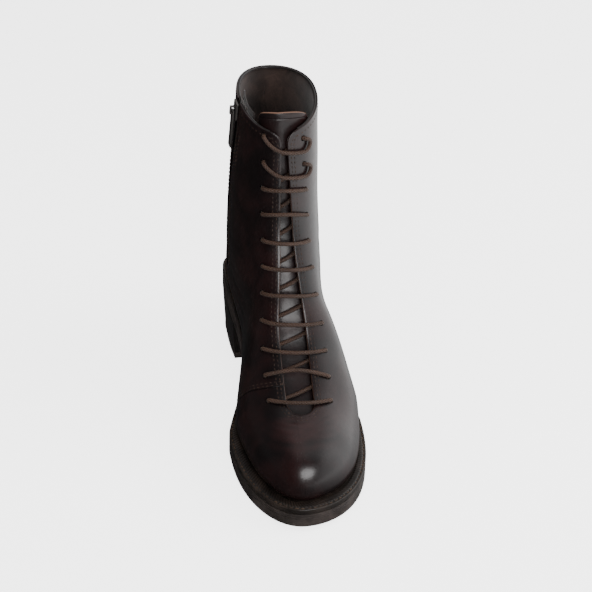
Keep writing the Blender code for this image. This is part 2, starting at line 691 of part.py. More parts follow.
def slab(name, left, right, low, high, spec, collection, lean=0.0):
    """A solid between two edges in plan, given as (x, forward) rows, and two heights for each row.

    lean moves the lower edges in by that much.
    """
    count = len(left)
    centre = (left + right) / 2
    pull = lean / np.maximum(np.linalg.norm(left - centre, axis=1, keepdims=True), lean + 1e-6)
    points = []
    for edge, height, shrink in (
        (left, low, pull),
        (right, low, pull),
        (left, high, 0 * pull),
        (right, high, 0 * pull),
    ):
        place = edge + (centre - edge) * shrink
        points.append(np.column_stack([place, height]))
    faces = []
    for i in range(count - 1):
        low_left, low_right, high_left, high_right = (k * count + i for k in range(4))
        faces.append((low_left, low_left + 1, low_right + 1, low_right))
        faces.append((high_left, high_right, high_right + 1, high_left + 1))
        faces.append((low_left, high_left, high_left + 1, low_left + 1))
        faces.append((low_right, low_right + 1, high_right + 1, high_right))
    for i in (0, count - 1):
        faces.append((i, count + i, 3 * count + i, 2 * count + i))
    return new_object(name, to_world(np.vstack(points)), faces, spec, collection)


def stations(start, end, count=OUTLINE_STATIONS):
    """Forward places from start to end, closer together at both rounded ends."""
    t = np.linspace(0, 1, count)
    bunched = (1 - np.cos(math.pi * t)) / 2
    share = np.abs(2 * t - 1) ** 2
    return start + (end - start) * (bunched * share + t * (1 - share))


def sole_outline(inset_heel, inset_side, inset_toe, count=OUTLINE_STATIONS):
    """Left and right (x, forward) edges of the sole's plan drawn in by three insets."""
    forward = stations(inset_heel, SOLE_LENGTH - inset_toe, count)
    edges = [
        np.column_stack([plan_edge(forward, side, inset_heel, inset_side, inset_toe), forward])
        for side in (-1, 1)
    ]
    edges[1][[0, -1]] = edges[0][[0, -1]]
    return edges


def softened(item, width, angle=50):
    """A small bevel on an object's sharp edges."""
    bevel = item.modifiers.new("edge", "BEVEL")
    bevel.width = width
    bevel.segments = 1
    bevel.limit_method = "ANGLE"
    bevel.angle_limit = math.radians(angle)
    return item


def add_outsole(collection):
    """The rubber outsole: one slab over heel, arch and forefoot."""
    left, right = sole_outline(0.0, 0.0, 0.0)
    low = tread_height(left[:, 1])
    made = slab("outsole", left, right, low, low + OUTSOLE_THICKNESS, SOLE_RUBBER, collection)
    return softened(made, SOLE_EDGE_BEVEL * 0.5)


def add_welt(collection):
    """The welt: a flat band all round, under the upper's edge and out to the sole's edge."""
    count = OUTLINE_STATIONS
    outer = sole_outline(0.0, 0.0, 0.0)
    reach = [LEDGE_HEEL + WELT_UNDERLAP, LEDGE_BALL + WELT_UNDERLAP, LEDGE_TOE + WELT_UNDERLAP]
    within = np.clip(outer[0][:, 1], reach[0] + 1e-5, SOLE_LENGTH - reach[2] - 1e-5)
    inner = [np.column_stack([plan_edge(within, side, *reach), within]) for side in (-1, 1)]
    loops = []
    for left, right in (outer, inner):
        loops.append(np.vstack([left, right[::-1][1:-1]]))
    base = [tread_height(loop[:, 1]) + OUTSOLE_THICKNESS + FIT_GAP for loop in loops]
    rows = []
    for loop, height, lift in (
        (loops[0], base[0], 0.0),
        (loops[0], base[0], WELT_THICKNESS),
        (loops[1], base[1], WELT_THICKNESS),
        (loops[1], base[1], 0.0),
        (loops[0], base[0], 0.0),
    ):
        rows.append(np.column_stack([loop, height + lift]))
    columns = 2 * count - 2
    points = np.vstack(rows[:4])
    faces = grid_faces(4, columns, wrap=True)
    for column in range(columns):
        after = (column + 1) % columns
        faces.append((3 * columns + column, 3 * columns + after, after, column))
    made = new_object("welt", to_world(points), faces, WELT_LEATHER, collection)
    return softened(made, SOLE_EDGE_BEVEL * 0.5)


def add_heel(collection):
    """The stacked heel block and its top piece, both D shaped with a straight breast."""
    forward = stations(0.0, HEEL_LENGTH, 24)
    breast = np.array([HEEL_LENGTH])
    forward = np.concatenate([forward[: len(forward) // 2 + 4], breast])
    edges = []
    for side in (-1, 1):
        edges.append(np.column_stack([plan_edge(forward, side, 0.0, 0.0, 0.0), forward]))
    edges[1][0] = edges[0][0]
    floor = np.zeros(len(forward))
    seat = tread_height(forward) - FIT_GAP
    low = floor + TOP_PIECE_THICKNESS + FIT_GAP
    block = slab("heel_block", *edges, low, seat, HEEL_FINISH, collection, HEEL_TAPER)
    softened(block, SOLE_EDGE_BEVEL * 0.5)
    for edge in edges:
        edge[:, 0] *= 1 - HEEL_TAPER / HEEL_HALF_WIDTH
    edges = [edge + np.array([0.0, -HEEL_TAPER / 2]) * (edge[:, 1:] / HEEL_LENGTH) for edge in edges]
    lift = slab("top_piece", *edges, floor, floor + TOP_PIECE_THICKNESS, SOLE_RUBBER, collection)
    softened(lift, SOLE_EDGE_BEVEL * 0.5)


def inner_outline(lift, clearance, count=OUTLINE_STATIONS):
    """Left and right (x, forward) edges of the upper's inner wall at a lift over the feather line."""
    inset = FEATHER_TUCK + WALL + clearance
    dense = np.linspace(-math.pi, math.pi, 721)[:-1]
    centre = SOLE_LENGTH * 0.5
    half_length, half_width = SOLE_LENGTH * 0.5, SHAFT_HALF_WIDTH

    def place(reach):
        forward = centre + reach * half_length * np.cos(dense)
        return reach * half_width * np.sin(dense), forward, feather_height(forward) + lift

    reach = crossing(np.full(len(dense), 0.1), np.full(len(dense), 2.2), place)
    points = np.stack(place(reach), axis=1)
    normals = outward(points) * np.array([1.0, 1.0, 0.0])
    normals /= np.linalg.norm(normals, axis=1, keepdims=True)
    points = (points - normals * inset)[:, :2]
    first, last = points[:, 1].min(), points[:, 1].max()
    forward = stations(first + 1e-4, last - 1e-4, count)
    edges = []
    for side in (-1, 1):
        half = points[points[:, 0] * side >= 1.5 * TOE_SWING]
        front = half[np.argmax(half[:, 1])]
        back = half[np.argmin(half[:, 1])]
        chain = half[half[:, 0] * side >= min(front[0] * side, back[0] * side)]
        chain = chain[np.argsort(chain[:, 1])]
        edges.append(np.column_stack([np.interp(forward, chain[:, 1], chain[:, 0]), forward]))
    return edges


def add_insole(collection):
    """The insole that lies inside the upper on the level of the welt's top."""
    lift = INSOLE_THICKNESS
    left, right = inner_outline(lift / 2, INSOLE_CLEARANCE)
    low = feather_height(left[:, 1])
    return slab("insole", left, right, low, low + INSOLE_THICKNESS, LINING, collection)


def strip_place(length, xs, sink):
    """Places across the front at one length, moved in from the outer face by a depth."""
    points = ring(length)
    quarter = len(points) // 4
    strip = np.vstack([points[-quarter:], points[:quarter]])
    order = np.argsort(strip[:, 0])
    places = np.stack([np.interp(xs, strip[order, 0], strip[order, axis]) for axis in range(3)], axis=1)
    return places - outward(places) * sink


def add_tongue(collection):
    """The tongue: a curved leather sheet under the lacing that stands above the collar."""
    start, end = THROAT_LENGTH - TONGUE_UNDERLAP, COLLAR_LENGTH + TONGUE_RISE
    rows, columns = 18, 9
    outer, inner = [], []
    for length in np.linspace(start, end, rows):
        inside = min(max(length, THROAT_LENGTH + THROAT_WIDTH / 2), COLLAR_LENGTH - FACING_CORNER_RADIUS)
        flare = min(max((length - COLLAR_LENGTH + TONGUE_FLARE) / TONGUE_FLARE, 0.0), 1.0)
        margin = TONGUE_MARGIN + (TONGUE_TOP_MARGIN - TONGUE_MARGIN) * (3 * flare**2 - 2 * flare**3)
        half = throat_half(inside) + margin
        ramp = min(max((length - start) / (1.2 * TONGUE_UNDERLAP), 0.0), 1.0)
        sink = WALL + FIT_GAP * 2 + (TONGUE_SINK - WALL - FIT_GAP * 2) * (3 * ramp**2 - 2 * ramp**3)
        xs = THROAT_CENTRE + np.linspace(-half, half, columns)
        outer.append(strip_place(length, xs, sink))
        inner.append(strip_place(length, xs, sink + TONGUE_THICKNESS))
    return sheet_solid("tongue", np.array(outer), np.array(inner), LEATHER, collection)


def lace_path():
    """Centre line of the lace: bar, in by the lateral eyelet, diagonal inside, out by the next medial."""
    lift = LACE_RADIUS + 2 * FIT_GAP
    sink = WALL + LACE_RADIUS + 1.5 * FIT_GAP
    path = []
    for index, (sag, curl) in enumerate(LACE_ROWS):
        medial, lateral = eyelet_x(index, -1), eyelet_x(index, 1)
        length = eyelet_length(index)
        for depth in (sink, 0.5 * WALL):
            path.append(strip_place(length, np.array([medial]), depth)[0])
        for t in np.linspace(0.0, 1.0, 7):
            x = medial + (lateral - medial) * t
            dip = EYELET_SPACING * 0.5 * (sag * 4 * t * (1 - t) + curl * math.sin(math.pi * t**2))
            path.append(strip_place(length - dip, np.array([x]), -lift)[0])
        for depth in (0.5 * WALL, sink):
            path.append(strip_place(length, np.array([lateral]), depth)[0])
        if index + 1 == len(LACE_ROWS):
            continue
        following = eyelet_x(index + 1, -1)
        for t in (0.2, 0.4, 0.6, 0.8):
            x = lateral + (following - lateral) * t
            path.append(strip_place(length - EYELET_SPACING * t, np.array([x]), sink)[0])
    return np.array(path)


def add_lace(collection):
    """The lace as one round cord swept along its path with a bevelled curve."""
    path = to_world(lace_path())
    curve = bpy.data.curves.new("lace", "CURVE")
    curve.dimensions = "3D"
    curve.bevel_depth = LACE_RADIUS
    curve.bevel_resolution = 1
    curve.use_fill_caps = True
    spline = curve.splines.new("POLY")
    spline.points.add(len(path) - 1)
    for point, place in zip(spline.points, path):
        point.co = (*place, 1.0)
    curve.materials.append(material(CORD))
    made = bpy.data.objects.new("lace", curve)
    collection.objects.link(made)
    return made


def medial_place(forward, z, sink):
    """Places on the medial side at forward and z, moved in from the outer face by a depth."""
    x = side_x(forward, z, -1)
    points = np.stack([x, np.broadcast_to(forward, x.shape), np.broadcast_to(z, x.shape)], axis=-1)
    flat = points.reshape(-1, 3)
    return (flat - outward(flat) * sink).reshape(points.shape)


def medial_strip(name, width, depth, thickness, low, high, rows, columns, spec, collection):
    """A strip along the zip on the medial side between two depths and two heights."""
    z, across = np.meshgrid(np.linspace(low, high, rows), np.linspace(-width / 2, width / 2, columns), indexing="ij")
    outer = medial_place(ZIP_FORWARD + across, z, depth)
    inner = medial_place(ZIP_FORWARD + across, z, depth + thickness)
    return sheet_solid(name, outer, inner, spec, collection)


def slider_frame():
    """Origin and (across, down, out) directions of the slider on the outer face."""
    z = COLLAR_SIDE - SLIDER_LENGTH / 2 - 0.0040
    place = medial_place(np.array([ZIP_FORWARD]), np.array([z]), 0.0)
    out = outward(place)[0]
    across = np.array([0.0, 1.0, 0.0])
    across = across - out * across.dot(out)
    across /= np.linalg.norm(across)
    down = np.cross(out, across)
    if down[2] > 0:
        down = -down
    return place[0], across, down, out


def box_points(frame, across, down, out):
    """Eight world corners of a box given by its spans in the slider's frame."""
    origin, u, v, w = frame
    corners = [origin + u * a + v * d + w * o for a in across for d in down for o in out]
    return to_world(np.array(corners))


BOX_FACES = [(0, 1, 3, 2), (4, 6, 7, 5), (0, 4, 5, 1), (2, 3, 7, 6), (0, 2, 6, 4), (1, 5, 7, 3)]


def add_box(name, frame, across, down, out, spec, collection, cutter=False):
    """A box in the slider's frame."""
    made = new_object(name, box_points(frame, across, down, out), BOX_FACES, spec, collection)
    if cutter:
        made.hide_render = True
        made.display_type = "WIRE"
    return made


def boolean(item, other, operation):
    """Join or cut an object with another."""
    step = item.modifiers.new(operation.lower(), "BOOLEAN")
    step.operation = operation
    step.object = other
    return item


def add_zip(collection, cutters):
    """The zip on the medial side: tape, chain, guard, slider and its pull tab."""
    bottom = SEAT + ZIP_BOTTOM_RISE
    tape_depth = WALL + FIT_GAP
    guard_depth = tape_depth + ZIP_TAPE_THICKNESS + FIT_GAP + SLIDER_PLATE + 2 * FIT_GAP
    frame = slider_frame()
    slider_low = frame[0][2] - SLIDER_LENGTH / 2
    tape = medial_strip(
        "zip_tape", ZIP_TAPE_WIDTH, tape_depth, ZIP_TAPE_THICKNESS, bottom - 0.006, COLLAR_SIDE - 0.003, 11, 5,
        TAPE, collection,
    )
    medial_strip(
        "zip_chain", ZIP_CHAIN_WIDTH, tape_depth - FIT_GAP - ZIP_CHAIN_HEIGHT, ZIP_CHAIN_HEIGHT,
        bottom + 0.001, slider_low - 0.0005, 11, 3, METAL, collection,
    )
    medial_strip(
        "zip_guard", GUARD_WIDTH, guard_depth, GUARD_THICKNESS, bottom - 0.010, COLLAR_SIDE - 0.005, 11, 6,
        LINING, collection,
    )
    half = SLIDER_WIDTH / 2
    length = SLIDER_LENGTH / 2
    lift = FIT_GAP + 0.00025
    plate_top = lift + SLIDER_PLATE
    inner_top = -(tape_depth + ZIP_TAPE_THICKNESS + FIT_GAP + 0.0001)
    post = SLIDER_WIDTH * 0.11
    slider = add_box(
        "zip_slider", frame, (-half, half), (-length, length), (lift, plate_top), METAL, collection
    )
    joins = [
        ("slider_post", (-post, post), (-length * 0.55, length * 0.35), (inner_top - 0.0003, lift + 0.0003)),
        ("slider_back", (-half * 0.8, half * 0.8), (-length * 0.85, length * 0.85), (inner_top - 0.0012, inner_top)),
        (
            "slider_bridge",
            (-BRIDGE_WIDTH / 2, BRIDGE_WIDTH / 2),
            (-BRIDGE_LENGTH / 2, BRIDGE_LENGTH / 2),
            (plate_top - 0.0003, plate_top + BRIDGE_HEIGHT + BRIDGE_THICKNESS),
        ),
    ]
    for name, across, down, out in joins:
        boolean(slider, add_box(name, frame, across, down, out, METAL, cutters, True), "UNION")
    opening = BRIDGE_LENGTH / 2 - BRIDGE_THICKNESS
    hole = add_box(
        "bridge_opening", frame, (-half, half), (-opening, opening), (plate_top, plate_top + BRIDGE_HEIGHT),
        METAL, cutters, True,
    )
    boolean(slider, hole, "DIFFERENCE")
    slit = add_box(
        "tape_slit", frame, (-post - FIT_GAP, post + FIT_GAP), (-length * 0.55 - FIT_GAP, length * 0.35 + FIT_GAP),
        (inner_top - 0.001, lift), METAL, cutters, True,
    )
    boolean(tape, slit, "DIFFERENCE")
    pin_out = plate_top + BRIDGE_HEIGHT * 0.5
    pin_down = opening - PULL_THICKNESS / 2 * 1.42 - FIT_GAP
    pull = add_box(
        "zip_pull_tab", frame, (-PULL_WIDTH / 2, PULL_WIDTH / 2),
        (pin_down - PULL_THICKNESS / 2, pin_down + PULL_LENGTH),
        (pin_out - PULL_THICKNESS / 2, pin_out + PULL_THICKNESS / 2), METAL, collection,
    )
    window = add_box(
        "pull_window", frame, (-PULL_WINDOW / 2, PULL_WINDOW / 2),
        (pin_down + PULL_THICKNESS / 2, pin_down + BRIDGE_LENGTH / 2 + BRIDGE_HEIGHT),
        (pin_out - PULL_THICKNESS, pin_out + PULL_THICKNESS), METAL, cutters, True,
    )
    boolean(pull, window, "DIFFERENCE")
    origin, across, down, out = frame
    return to_world(origin + down * pin_down + out * pin_out), across * np.array([1, -1, 1])


def main():
    """Build the boot."""
    clear_scene()
    collection = new_collection("lace up ankle boot")
    cutters = new_collection("cutters")
    add_outsole(collection)
    add_welt(collection)
    add_heel(collection)
    add_insole(collection)
    add_upper(collection, cutters)
    add_tongue(collection)
    add_lace(collection)
    pivot = add_zip(collection, cutters)
    print("pull tab pivot and axis", [[round(float(c), 6) for c in part] for part in pivot])


if __name__ == "__main__":
    main()
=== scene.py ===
"""Looks of the lace up ankle boot: polished dark leather, welted sole, waxed lace and side zip.

The left boot stands on its sole with the toe to -Y, the outer side to +X and +Z up. The origin is the
centre of the heel's bottom face. Places inside the classes are (x, forward, z) in metres, with forward
counted from the back edge of the sole to the toe; to_world turns them into the frame of the CAD part.
"""

from __future__ import annotations

import logging
import math
from collections.abc import Callable
from dataclasses import dataclass
from enum import Enum

import bmesh
import bpy
import numpy as np
from mathutils import Matrix, Vector
from numpy.typing import NDArray

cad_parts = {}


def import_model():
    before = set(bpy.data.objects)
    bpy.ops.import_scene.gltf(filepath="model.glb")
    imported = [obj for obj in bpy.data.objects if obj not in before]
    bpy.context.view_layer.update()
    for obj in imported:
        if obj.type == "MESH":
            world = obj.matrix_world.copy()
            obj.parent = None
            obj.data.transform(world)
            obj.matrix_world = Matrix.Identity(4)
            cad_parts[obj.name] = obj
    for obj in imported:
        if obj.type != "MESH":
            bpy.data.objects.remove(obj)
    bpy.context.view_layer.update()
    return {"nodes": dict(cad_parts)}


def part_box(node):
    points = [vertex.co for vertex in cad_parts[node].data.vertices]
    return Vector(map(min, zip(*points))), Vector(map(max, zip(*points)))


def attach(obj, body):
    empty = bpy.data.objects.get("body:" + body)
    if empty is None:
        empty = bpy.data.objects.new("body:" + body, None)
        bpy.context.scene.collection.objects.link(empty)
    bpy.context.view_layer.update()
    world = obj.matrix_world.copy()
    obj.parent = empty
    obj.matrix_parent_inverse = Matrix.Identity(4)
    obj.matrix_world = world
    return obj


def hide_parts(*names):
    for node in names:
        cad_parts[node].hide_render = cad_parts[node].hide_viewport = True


Array = NDArray[np.float64]
Move = Callable[[Array], Array]
Triple = tuple[float, float, float]
Socket = bpy.types.NodeSocket
log = logging.getLogger("ankle boot")


class Side(Enum):
    """The inner and the outer side of the left foot, as the sign of x."""

    MEDIAL = -1
    LATERAL = 1


@dataclass(frozen=True)
class Table:
    """A smooth curve through a short table: a cubic spline with level or free ends, held past them."""

    places: tuple[float, ...]
    values: tuple[float, ...]
    level_ends: bool = True

    def slopes(self) -> Array:
        """Slopes at the table's places, from the spline's tridiagonal system.

        Returns:
            One slope for each place. Neighbouring cubics then share slope and curvature.
        """
        xs, ys = np.array(self.places), np.array(self.values)
        steps, rises = np.diff(xs), np.diff(ys)
        count = len(xs)
        system, known = np.zeros((count, count)), np.zeros(count)
        inner = np.arange(1, count - 1)
        system[inner, inner - 1] = 1 / steps[:-1]
        system[inner, inner] = 2 * (1 / steps[:-1] + 1 / steps[1:])
        system[inner, inner + 1] = 1 / steps[1:]
        known[inner] = 3 * (rises[:-1] / steps[:-1] ** 2 + rises[1:] / steps[1:] ** 2)
        system[0, 0] = system[-1, -1] = 1.0
        if not self.level_ends:
            system[0, :2] = (2 / steps[0], 1 / steps[0])
            known[0] = 3 * rises[0] / steps[0] ** 2
            system[-1, -2:] = (1 / steps[-1], 2 / steps[-1])
            known[-1] = 3 * rises[-1] / steps[-1] ** 2
        return np.linalg.solve(system, known)

    def __call__(self, at: Array | float) -> Array:
        """Value of the curve at each place, by the cubic Hermite formula.

        Args:
            at: Places to read the curve at.

        Returns:
            The values, with the same shape as the places.
        """
        xs, ys, slopes = np.array(self.places), np.array(self.values), self.slopes()
        at = np.clip(at, xs[0], xs[-1])
        index = np.clip(np.searchsorted(xs, at) - 1, 0, len(xs) - 2)
        step = (xs[1:] - xs[:-1])[index]
        t = (at - xs[index]) / step
        return (
            (2 * t**3 - 3 * t**2 + 1) * ys[index]
            + (t**3 - 2 * t**2 + t) * step * slopes[index]
            + (3 * t**2 - 2 * t**3) * ys[index + 1]
            + (t**3 - t**2) * step * slopes[index + 1]
        )


def smooth_step(low: float, high: float, at: Array | float) -> Array:
    """0 below low, 1 above high and the smooth cubic between them."""
    t = np.clip((np.asarray(at, float) - low) / (high - low), 0, 1)
    return t * t * (3 - 2 * t)


def unit(vectors: Array) -> Array:
    """Vectors of length one along the last axis."""
    return vectors / np.maximum(np.linalg.norm(vectors, axis=-1, keepdims=True), 1e-12)


def world_way(directions: Array) -> Array:
    """(x, forward, z) directions as world directions, with the toe to -Y."""
    return directions * np.array([1, -1, 1])


def run_along(line: Array) -> Array:
    """Length along a line of points, from 0 at the first."""
    return np.concatenate([[0.0], np.cumsum(np.linalg.norm(np.diff(line, axis=0), axis=1))])


def read_along(wanted: Array, along: Array, line: Array) -> Array:
    """Places on a line at the wanted lengths, straight between its points."""
    return np.stack([np.interp(wanted, along, line[:, axis]) for axis in range(line.shape[1])], axis=1)


def unbroken(keep: NDArray[np.bool_], least: int) -> list[NDArray[np.int64]]:
    """Runs of kept numbers without a gap that are longer than the least count."""
    kept = np.flatnonzero(keep)
    runs = np.split(kept, np.nonzero(np.diff(kept) > 1)[0] + 1)
    return [run for run in runs if len(run) > least]


def halved(within: Callable[[Array], NDArray[np.bool_]], inside: Array, outside: Array, rounds: int) -> Array:
    """Reach where a test changes, by halving the span between a reach inside and one outside.

    Args:
        within: Says of each reach whether it still lies inside.
        inside: Reaches that lie inside.
        outside: Reaches that lie outside.
        rounds: How often the span is halved.

    Returns:
        The reaches on the border.
    """
    for _ in range(rounds):
        middle = (inside + outside) / 2
        held = within(middle)
        inside, outside = np.where(held, middle, inside), np.where(held, outside, middle)
    return (inside + outside) / 2


def inward(loop: Array, tangent: Array) -> Array:
    """Normals of a closed plan, square to its tangents and turned to its middle."""
    normal = np.column_stack([-tangent[:, 1], tangent[:, 0]])
    return -normal if ((loop.mean(axis=0) - loop) * normal).sum() < 0 else normal


@dataclass(frozen=True)
class SoleForm:
    """Plan and height of the sole: half widths along the length, heel seat, arch, ball and toe spring."""

    length: float = 0.268
    ball_medial: float = 0.0480
    ball_lateral: float = 0.0535
    waist_medial: float = 0.0275
    waist_lateral: float = 0.0370
    heel_half_width: float = 0.0322
    toe_swing: float = -0.0045
    heel_height: float = 0.0440
    heel_length: float = 0.065
    heel_taper: float = 0.0022
    top_piece: float = 0.006
    seat_pitch: float = 0.0055
    seat_power: float = 2.4
    outsole: float = 0.0118
    welt: float = 0.0046
    toe_spring: float = 0.004
    gap: float = 0.0003
    medial_toe: tuple[float, float] = (0.672, 2.15)
    lateral_toe: tuple[float, float] = (0.630, 2.40)
    heel_cap_power: float = 2.4
    ball_tread: float = 0.60
    toe_roll: float = 0.765
    ledge_toe: float = 0.0090
    ledge_ball: float = 0.0060
    ledge_heel: float = 0.0052

    places = (0.090, 0.200, 0.260, 0.320, 0.380, 0.440, 0.500, 0.560, 0.610, 0.665)
    medial_shares = (
        (1.00, 0.00, 0.00), (0.98, 0.00, 0.00), (0.65, 0.32, 0.00), (0.25, 0.73, 0.00), (0.00, 1.00, 0.00),
        (0.00, 0.92, 0.08), (0.00, 0.55, 0.395), (0.00, 0.20, 0.73), (0.00, 0.03, 0.925), (0.00, 0.00, 1.00),
    )
    lateral_shares = (
        (1.00, 0.00, 0.00), (0.98, 0.02, 0.00), (0.70, 0.29, 0.00), (0.35, 0.63, 0.00), (0.10, 0.90, 0.00),
        (0.00, 0.87, 0.14), (0.00, 0.48, 0.50), (0.00, 0.15, 0.81), (0.00, 0.02, 0.955), (0.00, 0.00, 1.00),
    )
    ledge_places = (0.00, 0.30, 0.60, 0.70, 0.80, 0.97)
    ledge_medial_shares = (
        (1.0, 0.0, 0.0), (0.6, 0.25, 0.0), (0.0, 0.9, 0.0), (0.0, 0.55, 0.45), (0.0, 0.1, 0.92), (0.0, 0.0, 1.0),
    )
    ledge_lateral_shares = (
        (1.0, 0.0, 0.0), (0.6, 0.25, 0.0), (0.0, 0.62, 0.0), (0.0, 0.95, 0.0), (0.0, 0.7, 0.3), (0.0, 0.2, 0.72),
    )

    @property
    def origin_forward(self) -> float:
        """Forward place of the part's origin, the middle of the heel's bottom."""
        return self.heel_length / 2

    @property
    def stack(self) -> float:
        """Height of the welt's top above the tread."""
        return self.outsole + self.gap + self.welt

    def half_width(self, forward: Array, side: Side) -> Array:
        """Distance of the sole's edge from the centre line behind the toe.

        Args:
            forward: Places along the sole.
            side: Inner or outer side.

        Returns:
            The distances, not negative.
        """
        medial = side is Side.MEDIAL
        waist = self.waist_medial if medial else self.waist_lateral
        ball = self.ball_medial if medial else self.ball_lateral
        shares = self.medial_shares if medial else self.lateral_shares
        sizes = np.array((self.heel_half_width, waist, ball))
        return Table(self.places, tuple(np.array(shares) @ sizes))(forward / self.length)

    def edge(self, forward: Array, side: Side, insets: tuple[float, Array | float, float]) -> Array:
        """x of an outline drawn inside the sole's edge, round at heel and toe.

        The half width less the inset is closed at the toe by sqrt(1 - t ** power) with t from the ball
        to the tip, and at the heel by the same rule; the toe's centre swings inwards by swing * t ** 2.

        Args:
            forward: Places along the sole.
            side: Inner or outer side.
            insets: Insets at the heel, along the side and at the toe.

        Returns:
            x of the outline, negative on the inner side.
        """
        heel_inset, side_inset, toe_inset = insets
        start_share, power = self.medial_toe if side is Side.MEDIAL else self.lateral_toe
        start, end = start_share * self.length, self.length - toe_inset
        heel_start = self.places[0] * self.length
        width = self.half_width(np.minimum(forward, start), side) - side_inset
        toe = np.clip((forward - start) / (end - start), 0, 1)
        heel = np.clip((heel_start - forward) / (heel_start - heel_inset), 0, 1)
        swing = self.toe_swing * toe**2
        taper = np.sqrt(1 - toe**power) * np.sqrt(1 - heel**self.heel_cap_power)
        return swing + side.value * np.maximum(width - side.value * swing, 0) * taper

    def ledge(self, forward: Array, side: Side) -> Array:
        """Width of the welt that shows outside the upper."""
        shares = self.ledge_medial_shares if side is Side.MEDIAL else self.ledge_lateral_shares
        sizes = np.array((self.ledge_heel, self.ledge_ball, self.ledge_toe))
        return Table(self.ledge_places, tuple(np.array(shares) @ sizes))(forward / self.length)

    def tread(self, forward: Array | float) -> Array:
        """Height of the outsole's underside.

        The heel seat falls by a power of the place, the arch is a cubic from the breast's height and
        slope to level ground at the ball, and the toe rises with the square of the way past the roll.

        Args:
            forward: Places along the sole.

        Returns:
            Heights above the floor.
        """
        forward = np.asarray(forward, float)
        ball, roll = self.ball_tread * self.length, self.toe_roll * self.length
        seat_share = np.clip(forward, 0, self.heel_length) / self.heel_length
        seat = self.heel_height - self.seat_pitch * seat_share**self.seat_power
        t = np.clip((forward - self.heel_length) / (ball - self.heel_length), 0, 1)
        lean = -self.seat_pitch * self.seat_power / self.heel_length * (ball - self.heel_length)
        breast = self.heel_height - self.seat_pitch
        arch = breast * (2 * t**3 - 3 * t**2 + 1) + lean * (t**3 - 2 * t**2 + t)
        spring = self.toe_spring * np.clip((forward - roll) / (self.length - roll), 0, 1.2) ** 2
        return np.where(forward < self.heel_length, seat, arch) + spring

    def outline(self, insets: tuple[float, Array | float, float], count: int) -> Array:
        """Closed outline as (x, forward) rows with even spacing, round by the toe and the outer side.

        Args:
            insets: Insets at the heel, along the side and at the toe.
            count: How many points it has.

        Returns:
            The outline, with its last point one step before the first.
        """
        turn = np.linspace(0, math.pi, 1600)
        heel_inset, _, toe_inset = insets
        middle, half = (self.length - toe_inset + heel_inset) / 2, (self.length - toe_inset - heel_inset) / 2
        forward = middle + half * np.cos(turn)
        lateral = np.column_stack([self.edge(forward, Side.LATERAL, insets), forward])
        medial = np.column_stack([self.edge(forward, Side.MEDIAL, insets), forward])
        loop = np.vstack([lateral, medial[::-1][1:]])
        along = run_along(loop)
        return read_along(np.linspace(0, along[-1], count, endpoint=False), along, loop)

    def to_world(self, points: Array) -> Array:
        """(x, forward, z) places as world places, with the toe to -Y."""
        return np.stack([points[..., 0], self.origin_forward - points[..., 1], points[..., 2]], axis=-1)


